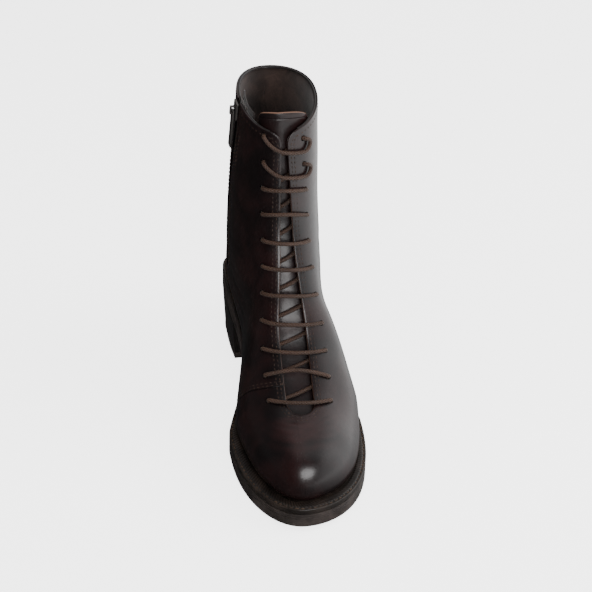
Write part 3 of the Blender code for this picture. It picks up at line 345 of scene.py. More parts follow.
@dataclass(frozen=True)
class LastForm:
    """The upper's outer face: a foot volume and a shaft volume joined with a fillet.

    Each volume is a measure that is negative inside, from superellipse sections whose half widths and
    depths come from tables along the foot and up the shaft. Rings wrap the face from the feather line,
    where it meets the welt, to the collar.
    """

    sole: SoleForm = SoleForm()
    instep_depth: float = 0.092
    toe_depth: float = 0.0345
    waist_bulge: float = 0.0070
    feather_tuck: float = 0.0018
    shaft_height: float = 0.179
    shaft_half_width: float = 0.0330
    collar_drop: float = 0.010
    fillet: float = 0.014
    throat_centre: float = 0.0016
    throat_width: float = 0.0214
    throat_top_width: float = 0.0050
    corner_radius: float = 0.0085
    eyelet_pairs: int = 11
    eyelet_spacing: float = 0.0197
    eyelet_inset: float = 0.0130
    top_eyelet_drop: float = 0.0085
    throat_below: float = 0.0085
    wall: float = 0.0022
    toe_cap: Triple = (0.845, 2.25, 0.47)
    foot_start: float = 0.09
    foot_heel_share: float = 0.62
    arch_power: float = 2.35
    top_power: float = 2.15
    bulge_top: float = 0.34

    depth_places = (0.0, 0.18, 0.30, 0.39, 0.45, 0.50, 0.545, 0.60, 0.655, 0.715, 0.77, 0.83, 0.88)
    toe_depth_shares = (0.0, 0.0, 0.0, 0.0, 0.0, 0.0, 0.0, 0.10, 0.35, 0.65, 0.88, 1.00, 1.00)
    instep_depth_shares = (0.33, 0.50, 0.72, 0.93, 1.02, 1.02, 0.94, 0.735, 0.50, 0.256, 0.115, 0.038, 0.0)
    medial_bulge_shares = (0.2, 0.4, 0.9, 1.0, 0.9, 0.7, 0.5, 0.35, 0.3, 0.3, 0.32, 0.36, 0.36)
    lateral_bulge_shares = (0.2, 0.2, 0.25, 0.3, 0.32, 0.34, 0.36, 0.36, 0.36, 0.36, 0.34, 0.36, 0.36)
    shaft_places = (0.0, 0.08, 0.18, 0.285, 0.38, 0.48, 0.587, 0.698, 0.807, 0.916, 1.02, 1.2)
    shaft_back = (0.0195, 0.012, 0.015, 0.027, 0.039, 0.047, 0.05, 0.05, 0.049, 0.0483, 0.048, 0.0475)
    shaft_front = (0.355, 0.405, 0.455, 0.492, 0.485, 0.458, 0.431, 0.41, 0.392, 0.374, 0.36, 0.345)
    shaft_heel_medial = (1.0, 0.55, 0.10, 0, 0, 0, 0, 0, 0, 0, 0, 0)
    shaft_medial = (0.0, 0.50, 0.93, 1.04, 1.04, 1.02, 0.99, 0.94, 0.885, 0.83, 0.80, 0.78)
    shaft_heel_lateral = (1.0, 0.55, 0.10, 0, 0, 0, 0, 0, 0, 0, 0, 0)
    shaft_lateral = (0.0, 0.50, 0.90, 0.99, 0.99, 0.985, 0.98, 0.975, 0.975, 0.98, 0.98, 0.97)
    shaft_power = (2.35, 2.30, 2.25, 2.20, 2.17, 2.15, 2.12, 2.10, 2.10, 2.10, 2.10, 2.10)
    ring_front = (
        0.0, 0.031, 0.058, 0.092, 0.132, 0.176, 0.225, 0.272, 0.335, 0.42, 0.52, 0.62, 0.725, 0.86, 1.0, 1.09,
    )
    ring_back = (0.0, 0.028, 0.056, 0.084, 0.112, 0.14, 0.17, 0.2, 0.24, 0.285, 0.35, 0.445, 0.57, 0.75, 0.972, 1.08)
    ring_flat = (0.0, 0.0, 0.0, 0.0, 0.0, 0.0, 0.0, 0.0, 0.08, 0.28, 0.58, 0.85, 1.0, 1.0, 1.0, 1.0)
    ring_dip = (
        0.0, 0.0, 0.006, 0.024, 0.05, 0.08, 0.12, 0.16, 0.17, 0.16, 0.12, 0.07, 0.02, -0.015, -0.05, -0.05,
    )
    throat_places = (0.0, 0.30, 0.42, 0.55, 0.68, 0.84, 1.0)
    throat_shares = (0.0, 0.02, 0.22, 0.52, 0.68, 0.85, 1.0)

    def feather(self, forward: Array | float) -> Array:
        """Height of the line where the upper meets the welt."""
        return self.sole.tread(forward) + self.sole.stack + 1.5 * self.sole.gap

    @property
    def seat(self) -> float:
        """Height of the feather line at the back of the heel."""
        return self.sole.heel_height + self.sole.stack + 1.5 * self.sole.gap

    @property
    def collar_side(self) -> float:
        """Height of the collar at the sides."""
        return self.seat + self.shaft_height

    def foot_field(self, x: Array, forward: Array, z: Array) -> Array:
        """Measure of the foot volume: ((|x| / half) ** p + rise ** q) ** (1 / p) - 1, in metres.

        rise is the height above the feather line over the depth there; half is the plan's half width
        plus a bulge that swells over the lower part of the side.

        Args:
            x: Places across.
            forward: Places along the sole.
            z: Heights.

        Returns:
            The measure, negative inside.
        """
        sole = self.sole
        share = forward / sole.length
        toe_end = sole.length - sole.ledge_toe
        cap_share, cap_power, cap_root = self.toe_cap
        cap_start = cap_share * sole.length
        sizes = np.array((self.toe_depth, self.instep_depth))
        depths = np.column_stack([self.toe_depth_shares, self.instep_depth_shares]) @ sizes
        cap = np.clip((forward - cap_start) / (toe_end - cap_start), 0, 1)
        depth = np.maximum(Table(self.depth_places, tuple(depths))(share) * (1 - cap**cap_power) ** cap_root, 1e-5)
        rise = np.clip((z - self.feather(forward)) / depth, 0, None)
        swell = 1 - (1 - np.clip(rise / self.bulge_top, 0, 1)) ** 2
        swell = swell * np.sqrt(np.clip((toe_end - forward) / (toe_end - cap_start), 0, 1)) * self.waist_bulge
        heel = self.foot_heel_share + (1 - self.foot_heel_share) * np.clip(share / 0.3, 0, 1)
        halves = []
        for side, shares in ((Side.MEDIAL, self.medial_bulge_shares), (Side.LATERAL, self.lateral_bulge_shares)):
            edge = sole.edge(forward, side, (sole.ledge_heel, sole.ledge(forward, side), sole.ledge_toe))
            halves.append(side.value * edge * heel + Table(self.depth_places, shares)(share) * swell)
        medial, lateral = halves
        toe_start = sole.medial_toe[0]
        bend = np.clip((share - toe_start) / (1 - toe_start), 0, 1) ** 2
        ridge = self.throat_centre + (sole.toe_swing - self.throat_centre) * bend
        half = np.maximum(np.where(x < ridge, medial + ridge, lateral - ridge), 1e-5)
        radius = ((np.abs(x - ridge) / half) ** self.arch_power + rise**self.top_power) ** (1 / self.arch_power)
        field = (radius - 1) * np.minimum((medial + lateral) / 2, depth)
        return np.maximum(field, np.maximum(forward - toe_end, self.foot_start * sole.length - forward))

    def shaft_field(self, x: Array, forward: Array, z: Array) -> Array:
        """Measure of the shaft volume from a superellipse section at each height.

        Args:
            x: Places across.
            forward: Places along the sole.
            z: Heights.

        Returns:
            The measure, negative inside.
        """
        share = np.clip((z - self.seat) / self.shaft_height, 0, self.shaft_places[-1])
        heel_foot = self.sole.heel_half_width - self.sole.ledge_heel
        back = Table(self.shaft_places, self.shaft_back)(share) * self.sole.length
        front = Table(self.shaft_places, self.shaft_front)(share) * self.sole.length
        sizes = np.array((heel_foot, self.shaft_half_width))
        widths_medial = np.column_stack([self.shaft_heel_medial, self.shaft_medial]) @ sizes
        widths_lateral = np.column_stack([self.shaft_heel_lateral, self.shaft_lateral]) @ sizes
        medial = Table(self.shaft_places, tuple(widths_medial))(share)
        lateral = Table(self.shaft_places, tuple(widths_lateral))(share)
        power = Table(self.shaft_places, self.shaft_power)(share)
        half = np.where(x < 0, medial, lateral)
        centre, depth = (back + front) / 2, (front - back) / 2
        radius = ((np.abs(x) / half) ** power + (np.abs(forward - centre) / depth) ** power) ** (1 / power)
        return (radius - 1) * (medial + lateral) / 2

    def field(self, places: Array) -> Array:
        """Measure of the boot: the lesser of foot and shaft, rounded where they meet."""
        x, forward, z = places[..., 0], places[..., 1], places[..., 2]
        foot, shaft = self.foot_field(x, forward, z), self.shaft_field(x, forward, z)
        overlap = np.clip(self.fillet - np.abs(foot - shaft), 0, None) / self.fillet
        return np.minimum(foot, shaft) - overlap**2 * self.fillet / 4

    def slope(self, places: Array) -> Array:
        """Gradient of the measure by central differences."""
        step = 2e-5
        shifts = np.eye(3) * step
        slopes = [(self.field(places + s) - self.field(places - s)) / (2 * step) for s in shifts]
        return np.stack(slopes, axis=-1)

    def normals(self, places: Array) -> Array:
        """Outward unit normals of the outer face."""
        return unit(self.slope(places))

    def settled(self, places: Array, rounds: int = 2) -> Array:
        """Places moved along the slope onto the outer face by Newton steps.

        Args:
            places: Places near the outer face.
            rounds: How many steps are taken.

        Returns:
            The settled places.
        """
        for _ in range(rounds):
            slope = self.slope(places)
            size = np.maximum((slope**2).sum(axis=-1, keepdims=True), 1e-6)
            places = places - slope * np.clip(self.field(places)[..., None] / size, -5e-4, 5e-4)
        return places

    def front_profile(self) -> tuple[Array, Array, Array]:
        """Centre line over the toe and up the front, found by halving along rays from below the arch.

        Returns:
            forward, z and length from the toe's feather line at each of its points.
        """
        pivot = np.array([0.37 * self.sole.length, -0.25 * self.instep_depth])
        toe = self.sole.length - self.sole.ledge_toe
        toe_angle = math.atan2(float(self.feather(toe)) + 1e-4 - pivot[1], toe - pivot[0])
        angles = np.linspace(toe_angle, math.radians(93), 900)
        near, far = np.full_like(angles, 0.03), np.full_like(angles, self.sole.length + self.shaft_height)
        rays = np.stack([np.cos(angles), np.sin(angles)], axis=1)
        centre = np.full_like(angles, self.throat_centre)

        def within(reach: Array) -> NDArray[np.bool_]:
            """Whether the reach along each ray ends inside the boot."""
            return self.field(np.column_stack([centre, pivot + rays * reach[:, None]])) < 0

        flat = pivot + rays * halved(within, near, far, 40)[:, None]
        length = run_along(flat)
        top = int(np.argmax(flat[:, 1] > self.collar_side - self.collar_drop + 0.03)) or len(flat)
        return flat[:top, 0], flat[:top, 1], length[:top]


@dataclass
class UpperSurface:
    """The outer face laid out by rings: each ring has one length along the front profile.

    The inner eyelets sit medial_lift further up the front than the outer ones, as the photograph shows.
    """

    form: LastForm
    medial_lift: float = 0.0045

    def __post_init__(self) -> None:
        """Find the front profile and the places of collar, eyelets and throat along it."""
        form = self.form
        self.forward, self.z, self.length = form.front_profile()
        collar_height = form.collar_side - form.collar_drop
        self.collar = float(np.interp(collar_height, self.z[150:], self.length[150:]))
        self.top_eyelet = self.collar - form.top_eyelet_drop
        self.throat = self.top_eyelet - form.eyelet_spacing * (form.eyelet_pairs - 1) - form.throat_below

    def rings(self, lengths: Array, samples: int = 420) -> Array:
        """Closed rings of the outer face, from the front by the outer side, the back and the inner side.

        A ring lies on a ruled surface between its back and front heights. Its points are where rays from
        the middle leave the boot, found by halving.

        Args:
            lengths: Length along the front profile of each ring.
            samples: Rays in each ring.

        Returns:
            Places with shape (rings, samples, 3).
        """
        form = self.form
        key = np.array(form.ring_front) * self.collar
        read = [
            Table(tuple(key), values, level_ends=False)(lengths)
            for values in (form.ring_back, form.ring_flat, form.ring_dip)
        ]
        back_share, flat, dip = (value[:, None] for value in read)
        flat = np.clip(flat, 0, 1)
        front_forward = np.interp(lengths, self.length, self.forward)[:, None]
        front_z = np.interp(lengths, self.length, self.z)[:, None]
        back_z = form.seat + form.shaft_height * back_share
        back_forward = form.sole.ledge_heel
        span = front_forward - back_forward
        back_lift = back_z - ((1 - flat) * form.feather(back_forward) + flat * form.seat)
        front_lift = front_z - ((1 - flat) * form.feather(front_forward) + flat * form.seat)
        angles = np.linspace(0, 2 * math.pi, samples, endpoint=False)[None, :]

        def place(reach: Array) -> Array:
            """Places on the ruled surface at a reach along each ray."""
            forward = back_forward + span * (0.5 + reach * 0.5 * np.cos(angles))
            t = (forward - back_forward) / span
            base = (1 - flat) * form.feather(forward) + flat * form.seat
            height = base + back_lift * (1 - t) + front_lift * t
            height = height - dip * form.instep_depth * 4 * t * (1 - t)
            return np.stack([reach * form.shaft_half_width * np.sin(angles), forward, height], axis=-1)

        near, far = (np.full((len(lengths), samples), reach) for reach in (0.15, 2.4))
        return place(halved(lambda reach: form.field(place(reach)) < 0, near, far, 26))

    def throat_half(self, lengths: Array) -> Array:
        """Half the gap between the facings: a round end, a taper and rounded top corners.

        Args:
            lengths: Lengths along the front profile.

        Returns:
            The half gaps, 0 below the throat.
        """
        form = self.form
        rise = lengths - self.throat
        share = np.clip(rise / (self.collar - self.throat), 0, 1)
        blend = Table(form.throat_places, form.throat_shares)(share)
        half = (form.throat_width + (form.throat_top_width - form.throat_width) * blend) / 2
        bottom = form.throat_width / 2
        half = half * np.sqrt(np.clip(1 - np.clip(1 - rise / bottom, 0, 1) ** 2, 0, 1))
        within = np.clip(1 - (self.collar - lengths) / form.corner_radius, 0, 1)
        return np.where(rise > 0, half + form.corner_radius * (1 - np.sqrt(1 - within**2)), 0.0)

    def sheet(self, lengths: Array, columns: int, gap: Array | None = None) -> Array:
        """Rings cut open at the facings and laid out in even columns.

        Args:
            lengths: Length along the front profile of each row.
            columns: Steps across each row.
            gap: Half gap of each row; the throat's own where it is left out.

        Returns:
            Places with shape (rows, columns + 1, 3), settled on the outer face.
        """
        gap = self.throat_half(lengths) if gap is None else gap
        rings, rows = self.rings(lengths), []
        quarter = rings.shape[1] // 4
        for ring, half in zip(rings, gap):
            loop = np.vstack([ring, ring[:1]])
            along = run_along(loop)
            start, end = 0.0, along[-1]
            if half > 0:
                start = np.interp(self.form.throat_centre + half, loop[:quarter, 0], along[:quarter])
                end = np.interp(self.form.throat_centre - half, loop[-quarter:, 0], along[-quarter:])
            rows.append(read_along(np.linspace(start, end, columns + 1), along, loop))
        return self.form.settled(np.array(rows))

    def eyelet_length(self, index: Array | int) -> Array | float:
        """Length along the front profile of an eyelet pair, counted from the top."""
        return self.top_eyelet - self.form.eyelet_spacing * index

    def side_places(self, forward: Array, z: Array, side: Side) -> Array:
        """Places on the outer face at points of the side view, found by halving outwards.

        Args:
            forward: Places along the sole.
            z: Heights.
            side: Inner or outer side.

        Returns:
            The places.
        """
        forward, z = np.broadcast_arrays(np.asarray(forward, float), np.asarray(z, float))

        def place(reach: Array) -> Array:
            """Places at a distance from the middle plane."""
            return np.stack([side.value * reach, forward, z], axis=-1)

        near, far = np.full(forward.shape, 0.002), np.full(forward.shape, 0.09)
        return place(halved(lambda reach: self.form.field(place(reach)) < 0, near, far, 34))


class FrontMap:
    """The front of the upper laid flat: places by length up the front and by distance round from its middle."""

    def __init__(self, surface: UpperSurface, reach: float = 0.047, rows: int = 170, columns: int = 125) -> None:
        """Sample the face on a grid of lengths and distances.

        Args:
            surface: The upper's outer face.
            reach: Distance covered on each side of the middle.
            rows: Samples up the front.
            columns: Samples across.
        """
        self.surface = surface
        self.lengths = np.linspace(surface.throat - 0.036, surface.collar + 0.024, rows)
        self.arcs = np.linspace(-reach, reach, columns)
        rings = surface.rings(self.lengths)
        third = rings.shape[1] // 3
        strips = np.concatenate([rings[:, -third:], rings[:, :third]], axis=1)
        grid = []
        for strip in strips:
            along, near = run_along(strip), slice(third - 20, third + 20)
            middle = np.interp(surface.form.throat_centre, strip[near, 0], along[near])
            grid.append(read_along(self.arcs + middle, along, strip))
        self.places = surface.form.settled(np.array(grid))
        self.normals = surface.form.normals(self.places)
        self.left, self.right = self.edge_arcs()

    def edge_arcs(self) -> tuple[Array, Array]:
        """Distance from the middle to the medial and lateral facing edge at each sampled length."""
        form, surface = self.surface.form, self.surface
        halves = surface.throat_half(np.clip(self.lengths, surface.throat, surface.collar))

        def arcs(side: Side) -> Array:
            """Distance to one facing edge."""
            edge = form.throat_centre + side.value * halves
            return np.array([np.interp(x, row[:, 0], self.arcs) for x, row in zip(edge, self.places)])

        return arcs(Side.MEDIAL), arcs(Side.LATERAL)

    def edge(self, lengths: Array, side: Side) -> Array:
        """Distance from the middle to one facing edge."""
        return np.interp(lengths, self.lengths, self.left if side is Side.MEDIAL else self.right)

    def read(self, lengths: Array, arcs: Array, lift: Array | float = 0.0) -> tuple[Array, Array]:
        """Places and normals between the samples, by weights on the four nearest.

        Args:
            lengths: Lengths up the front.
            arcs: Distances round from the middle, positive on the outer side.
            lift: Height of the places over the face.

        Returns:
            Places and unit normals.
        """
        lengths, arcs, lift = np.broadcast_arrays(lengths, arcs, lift)
        row, column = (
            np.clip((at - grid[0]) / (grid[1] - grid[0]), 0, len(grid) - 1.001)
            for at, grid in ((lengths, self.lengths), (arcs, self.arcs))
        )
        low_row, low_column = row.astype(int), column.astype(int)
        v, u = (row - low_row)[..., None], (column - low_column)[..., None]
        parts = []
        for grid in (self.places, self.normals):
            near = grid[low_row, low_column] * (1 - u) + grid[low_row, low_column + 1] * u
            far = grid[low_row + 1, low_column] * (1 - u) + grid[low_row + 1, low_column + 1] * u
            parts.append(near * (1 - v) + far * v)
        normals = unit(parts[1])
        return parts[0] + normals * lift[..., None], normals


def placed(name: str, data: bpy.types.ID) -> bpy.types.Object:
    """A new object with its data, at the origin of the scene."""
    made = bpy.data.objects.new(name, data)
    bpy.context.scene.collection.objects.link(made)
    return made


def grid_quads(rows: int, columns: int, wrap: bool = False) -> NDArray[np.int64]:
    """Corner numbers of a grid's quads; wrap joins the last column to the first.

    Args:
        rows: Rows of points.
        columns: Points in each row.
        wrap: Whether the last column joins the first.

    Returns:
        Four corner numbers for each quad.
    """
    row, column = np.meshgrid(np.arange(rows - 1), np.arange(columns if wrap else columns - 1), indexing="ij")
    after = (column + 1) % columns
    low, high = row * columns, (row + 1) * columns
    return np.stack([low + column, low + after, high + after, high + column], axis=-1).reshape(-1, 4)


class Shape:
    """Points, faces and values of one piece while it is built."""

    def __init__(self) -> None:
        """Start with nothing."""
        self.points: list[Array] = []
        self.faces: list[list[int]] = []
        self.values: dict[str, list[Array]] = {}
        self.count = 0

    def add(self, points: Array, quads: NDArray[np.int64], **values: Array | float) -> int:
        """Add points, faces counted from the first of them, and values for each point.

        Args:
            points: World places.
            quads: Corner numbers of each face.
            values: A number for each point, or one number for all.

        Returns:
            The number of the first added point.
        """
        points = points.reshape(-1, 3)
        first = self.count
        for name in {**self.values, **values}:
            value = np.asarray(values.get(name, 0.0), float)
            kept = self.values.setdefault(name, [np.zeros(first)] if first else [])
            kept.append(value.ravel() if value.ndim else np.full(len(points), float(value)))
        self.points.append(points)
        self.faces.extend((quads + first).tolist())
        self.count += len(points)
        return first

    def piece(self, name: str, sharp: float) -> bpy.types.Object:
        """Make the mesh object: doubles merged, normals outward, values kept as point attributes.

        Args:
            name: Name of the object.
            sharp: Angle in degrees past which an edge shades sharp.

        Returns:
            The object, in the scene and at the origin.
        """
        mesh = bpy.data.meshes.new(name)
        mesh.from_pydata(np.vstack(self.points).tolist(), [], self.faces)
        for key, parts in self.values.items():
            layer = mesh.attributes.new(key, "FLOAT", "POINT")
            layer.data.foreach_set("value", np.concatenate(parts).astype(np.float32))
        work = bmesh.new()
        work.from_mesh(mesh)
        bmesh.ops.remove_doubles(work, verts=work.verts, dist=2e-6)
        bmesh.ops.dissolve_degenerate(work, dist=1e-7, edges=work.edges)
        bmesh.ops.recalc_face_normals(work, faces=work.faces)
        work.to_mesh(mesh)
        work.free()
        mesh.shade_smooth()
        mesh.set_sharp_from_angle(angle=math.radians(sharp))
        return placed(name, mesh)


def lipped_sheet(
    shape: Shape, outer: Array, inner: Array, slit: int, steps: int, to_world: Move, **values: Array
) -> None:
    """A wall between two grids whose free edges are rounded.

    The edge runs up the first column from the slit row, along the last row and down the last column. At
    each of its points the lip is the half circle middle + half wall * cos + outward * half wall * sin.

    Args:
        shape: Where the wall is added.
        outer: Outer places with shape (rows, columns, 3).
        inner: Inner places of the same shape.
        slit: First row whose first and last column are an edge.
        steps: Steps round each lip.
        to_world: Turns places into world places.
        values: Values for each outer point, used for the inner ones too.
    """
    rows, columns = outer.shape[:2]
    flat = {key: np.asarray(value).ravel() for key, value in values.items()}
    quads = grid_quads(rows, columns)
    shape.add(to_world(outer), quads, rim=0.0, **flat)
    shape.add(to_world(inner), quads[:, ::-1], rim=0.0, **flat)
    up = np.arange(slit, rows) * columns
    top = (rows - 1) * columns + np.arange(1, columns - 1)
    down = np.arange(rows - 1, slit - 1, -1) * columns + columns - 1
    edge = np.concatenate([up, top, down])
    a, b = outer.reshape(-1, 3)[edge], inner.reshape(-1, 3)[edge]
    middle, half = (a + b) / 2, (a - b) / 2
    along = np.gradient(a, axis=0)
    if slit > 0:
        along[[0, -1]] = a[1] - a[-2]
    along = unit(along)
    outward = unit(np.cross(unit(half), along))
    sheetward = outer[np.clip(edge // columns - 1, 0, rows - 1), np.clip(edge % columns, 1, columns - 2)] - a
    outward = -outward if (outward * sheetward).sum(axis=1).sum() > 0 else outward
    turn = np.linspace(0, math.pi, steps + 1)[:, None, None]
    size = np.linalg.norm(half, axis=1)[None, :, None]
    lip = middle[None] + half[None] * np.cos(turn) + outward[None] * size * np.sin(turn)
    rim = np.broadcast_to(np.sin(turn[..., 0]), lip.shape[:2])
    carried = {key: np.broadcast_to(value[edge], lip.shape[:2]) for key, value in flat.items()}
    first = shape.add(to_world(lip), grid_quads(len(lip), len(edge)), rim=rim, **carried)
    if slit == 0:
        shape.faces.append([first + k * len(edge) for k in range(steps + 1)])
        shape.faces.append([first + (k + 1) * len(edge) - 1 for k in range(steps + 1)])
    shape.add(to_world(np.vstack([outer[0], inner[0]])), grid_quads(2, columns), rim=0.0)


def smooth_path(points: Array, step: float) -> Array:
    """An even path through points: Catmull-Rom cubics read closely, then spaced by length.

    Args:
        points: Control points.
        step: Distance between the points of the result.

    Returns:
        The even path.
    """
    ends = np.vstack([2 * points[0] - points[1], points, 2 * points[-1] - points[-2]])
    t = np.linspace(0, 1, 12, endpoint=False)[None, :, None]
    a, b, c, d = (ends[k : len(ends) - 3 + k][:, None, :] for k in range(4))
    dense = 0.5 * (2 * b + (c - a) * t + (2 * a - 5 * b + 4 * c - d) * t**2 + (3 * b - a - 3 * c + d) * t**3)
    dense = np.vstack([dense.reshape(-1, 3), points[-1:]])
    along = run_along(dense)
    return read_along(np.linspace(0, along[-1], max(int(along[-1] / step), 4)), along, dense)


def tube(shape: Shape, path: Array, radius: float | Array, sides: int) -> None:
    """A round tube along a path: centre + radius * (side * cos + up * sin), with frames carried along.

    Args:
        shape: Where the tube is added.
        path: Centre line in world places.
        radius: One radius, or one for each point.
        sides: Points round the tube.
    """
    along = unit(np.gradient(path, axis=0))
    side = np.zeros_like(path)
    first = np.cross(along[0], (0.0, 0.0, 1.0))
    side[0] = unit(first if np.linalg.norm(first) > 0.1 else np.cross(along[0], (1.0, 0.0, 0.0)))
    for index in range(1, len(path)):
        carried = side[index - 1] - along[index] * side[index - 1].dot(along[index])
        side[index] = carried / np.linalg.norm(carried)
    up = np.cross(along, side)
    turn = np.linspace(0, 2 * math.pi, sides, endpoint=False)
    cosine, sine = np.cos(turn)[None, :, None], np.sin(turn)[None, :, None]
    reach = np.broadcast_to(np.asarray(radius, float), (len(path),))[:, None, None]
    ring = path[:, None] + reach * (side[:, None] * cosine + up[:, None] * sine)
    facts = {"turn_cos": cosine[..., 0], "turn_sin": sine[..., 0], "run_mm": run_along(path)[:, None] * 1000}
    values = {name: np.broadcast_to(value, ring.shape[:2]) for name, value in facts.items()}
    start = shape.add(ring, grid_quads(len(path), sides, wrap=True), **values)
    shape.faces.append([start + k for k in range(sides)][::-1])
    shape.faces.append([start + (len(path) - 1) * sides + k for k in range(sides)])


def scatter(shape: Shape, body: Array, places: Array, frames: Array) -> None:
    """Add one small closed body at every place: place + body turned by the frame there.

    Args:
        shape: Where the bodies are added.
        body: Rings of the body, with shape (rings, sides, 3).
        places: World place of each body.
        frames: World directions of the body's three axes at each place.
    """
    rings, sides, _ = body.shape
    size, numbers = rings * sides, np.arange(len(places))
    points = places[:, None, None] + np.einsum("ijk,nkl->nijl", body, frames)
    quads = grid_quads(rings, sides, wrap=True)[None] + (numbers * size)[:, None, None]
    start = shape.add(points, quads.reshape(-1, 4))
    caps = start + numbers[:, None] * size + np.arange(sides)
    shape.faces += caps[:, ::-1].tolist() + (caps + size - sides).tolist()


@dataclass(frozen=True)
class Thread:
    """Sewing thread: short rounded stitches laid along a seam and sunk into it."""

    length: float = 0.0026
    gap: float = 0.0009
    radius: float = 0.00034
    sink: float = 0.00008
    reading: float = 0.0002
    rings: int = 6
    sides: int = 7

    def sew(self, shape: Shape, path: Array, normals: Array) -> int:
        """Lay stitches along a path.

        Each stitch is a bowed capsule: rings of the thread's radius that shrink and sink towards its ends.

        Args:
            shape: Where the stitches are added.
            path: Seam in world places.
            normals: Outward direction at each place.

        Returns:
            How many stitches were laid.
        """
        along = run_along(path)
        count = int(along[-1] / (self.length + self.gap))
        if count < 1:
            return 0
        centres = (np.arange(count) + 0.5) * along[-1] / count
        before, after = (read_along(centres + step, along, path) for step in (-self.reading, self.reading))
        forward = unit(after - before)
        across = unit(np.cross(unit(read_along(centres, along, normals)), forward))
        frames = np.stack([forward, across, np.cross(forward, across)], axis=1)
        ends = np.linspace(-1, 1, self.rings)[:, None]
        swell = np.sqrt(np.clip(1 - np.abs(ends) ** 3.2, 0.05, 1)) * self.radius
        turn = np.linspace(0, 2 * math.pi, self.sides, endpoint=False)
        body = np.stack([
            np.broadcast_to(ends * self.length / 2, (self.rings, self.sides)), swell * np.cos(turn),
            swell * np.sin(turn) - self.sink - self.radius * 1.3 * np.abs(ends) ** 4,
        ], axis=-1)
        scatter(shape, body, (before + after) / 2, frames)
        return count


class Graph:
    """Makes shader nodes in one tree and wires them."""

    def __init__(self, tree: bpy.types.NodeTree) -> None:
        """Work in one node tree."""
        self.tree = tree

    def node(self, kind: str, **settings: object) -> bpy.types.Node:
        """A new node of a kind with its settings."""
        made = self.tree.nodes.new(kind)
        for key, value in settings.items():
            setattr(made, key, value)
        return made

    def feed(self, socket: Socket, value: object) -> None:
        """Wire a socket into another, or set its number."""
        if isinstance(value, Socket):
            self.tree.links.new(value, socket)
        else:
            socket.default_value = value

    def math(self, operation: str, first: object, second: object = 0.0, third: object = 0.0) -> Socket:
        """Result of one arithmetic step."""
        made = self.node("ShaderNodeMath", operation=operation)
        for socket, value in zip(made.inputs, (first, second, third)):
            self.feed(socket, value)
        return made.outputs[0]

    def spread(self, value: object, low: float, high: float, to_low: float = 0.0, to_high: float = 1.0) -> Socket:
        """A value carried smoothly from one span to another.

        Args:
            value: What is carried.
            low: Start of its span.
            high: End of its span.
            to_low: What the start becomes.
            to_high: What the end becomes.

        Returns:
            The carried value, held past both ends.
        """
        made = self.node("ShaderNodeMapRange", interpolation_type="SMOOTHSTEP")
        for socket, given in zip(made.inputs, (value, low, high, to_low, to_high)):
            self.feed(socket, given)
        return made.outputs[0]

    def noise(
        self, vector: object, scale: object, detail: float = 2.0, rough: float = 0.5, warp: float = 0.0
    ) -> Socket:
        """Noise value at a place.

        Args:
            vector: The place.
            scale: Cells to the metre.
            detail: Finer layers.
            rough: Their strength.
            warp: How far it is distorted.

        Returns:
            The noise, from 0 to 1.
        """
        made = self.node("ShaderNodeTexNoise")
        keys = ("Vector", "Scale", "Detail", "Roughness", "Distortion")
        for key, value in zip(keys, (vector, scale, detail, rough, warp)):
            self.feed(made.inputs[key], value)
        return made.outputs[0]

    def blend(self, factor: object, first: object, second: object) -> Socket:
        """A colour between two colours.

        Args:
            factor: 0 for the first, 1 for the second.
            first: One colour.
            second: The other colour.

        Returns:
            The blended colour.
        """
        made = self.node("ShaderNodeMix", data_type="RGBA")
        self.feed(made.inputs[0], factor)
        for socket, value in ((made.inputs[6], first), (made.inputs[7], second)):
            self.feed(socket, (*value, 1.0) if isinstance(value, tuple) and len(value) == 3 else value)
        return made.outputs[2]

    def attribute(self, name: str) -> Socket:
        """A piece's own value."""
        return self.node("ShaderNodeAttribute", attribute_name=name).outputs["Fac"]

    def place(self) -> Socket:
        """Object coordinates in metres."""
        return self.node("ShaderNodeTexCoord").outputs["Object"]

    def bump(self, height: object, distance: float, normal: object = None, strength: float = 1.0) -> Socket:
        """A normal bent by a height in units of distance.

        Args:
            height: The height.
            distance: Metres to one unit of height.
            normal: A normal to bend further.
            strength: How much of it is used.

        Returns:
            The normal.
        """
        made = self.node("ShaderNodeBump")
        made.inputs["Strength"].default_value = strength
        made.inputs["Distance"].default_value = distance
        self.feed(made.inputs["Height"], height)
        if normal is not None:
            self.feed(made.inputs["Normal"], normal)
        return made.outputs[0]

    def group(self, tree: bpy.types.NodeTree, **values: object) -> dict[str, Socket]:
        """Place a shared group and give its inputs.

        Args:
            tree: The group's node tree.
            values: Its inputs, with spaces in names written as underscores.

        Returns:
            Its outputs by name.
        """
        made = self.node("ShaderNodeGroup", node_tree=tree)
        for key, value in values.items():
            self.feed(made.inputs[key.replace("_", " ")], value)
        return {socket.name: socket for socket in made.outputs}


def new_group(
    name: str, inputs: dict[str, float], *outputs: str
) -> tuple[Graph, dict[str, Socket], dict[str, Socket]]:
    """An empty node group with named numbers going in and coming out.

    Args:
        name: Name of the group.
        inputs: Default of each number it takes.
        outputs: Name of each result.

    Returns:
        Its graph, its input sockets and its result sockets.
    """
    tree = bpy.data.node_groups.new(name, "ShaderNodeTree")
    for key, value in inputs.items():
        tree.interface.new_socket(key, in_out="INPUT", socket_type="NodeSocketFloat").default_value = value
    for key in outputs:
        tree.interface.new_socket(key, in_out="OUTPUT", socket_type="NodeSocketFloat")
    graph = Graph(tree)
    given, result = graph.node("NodeGroupInput"), graph.node("NodeGroupOutput")
    return graph, {s.name: s for s in given.outputs if s.name}, {s.name: s for s in result.inputs if s.name}


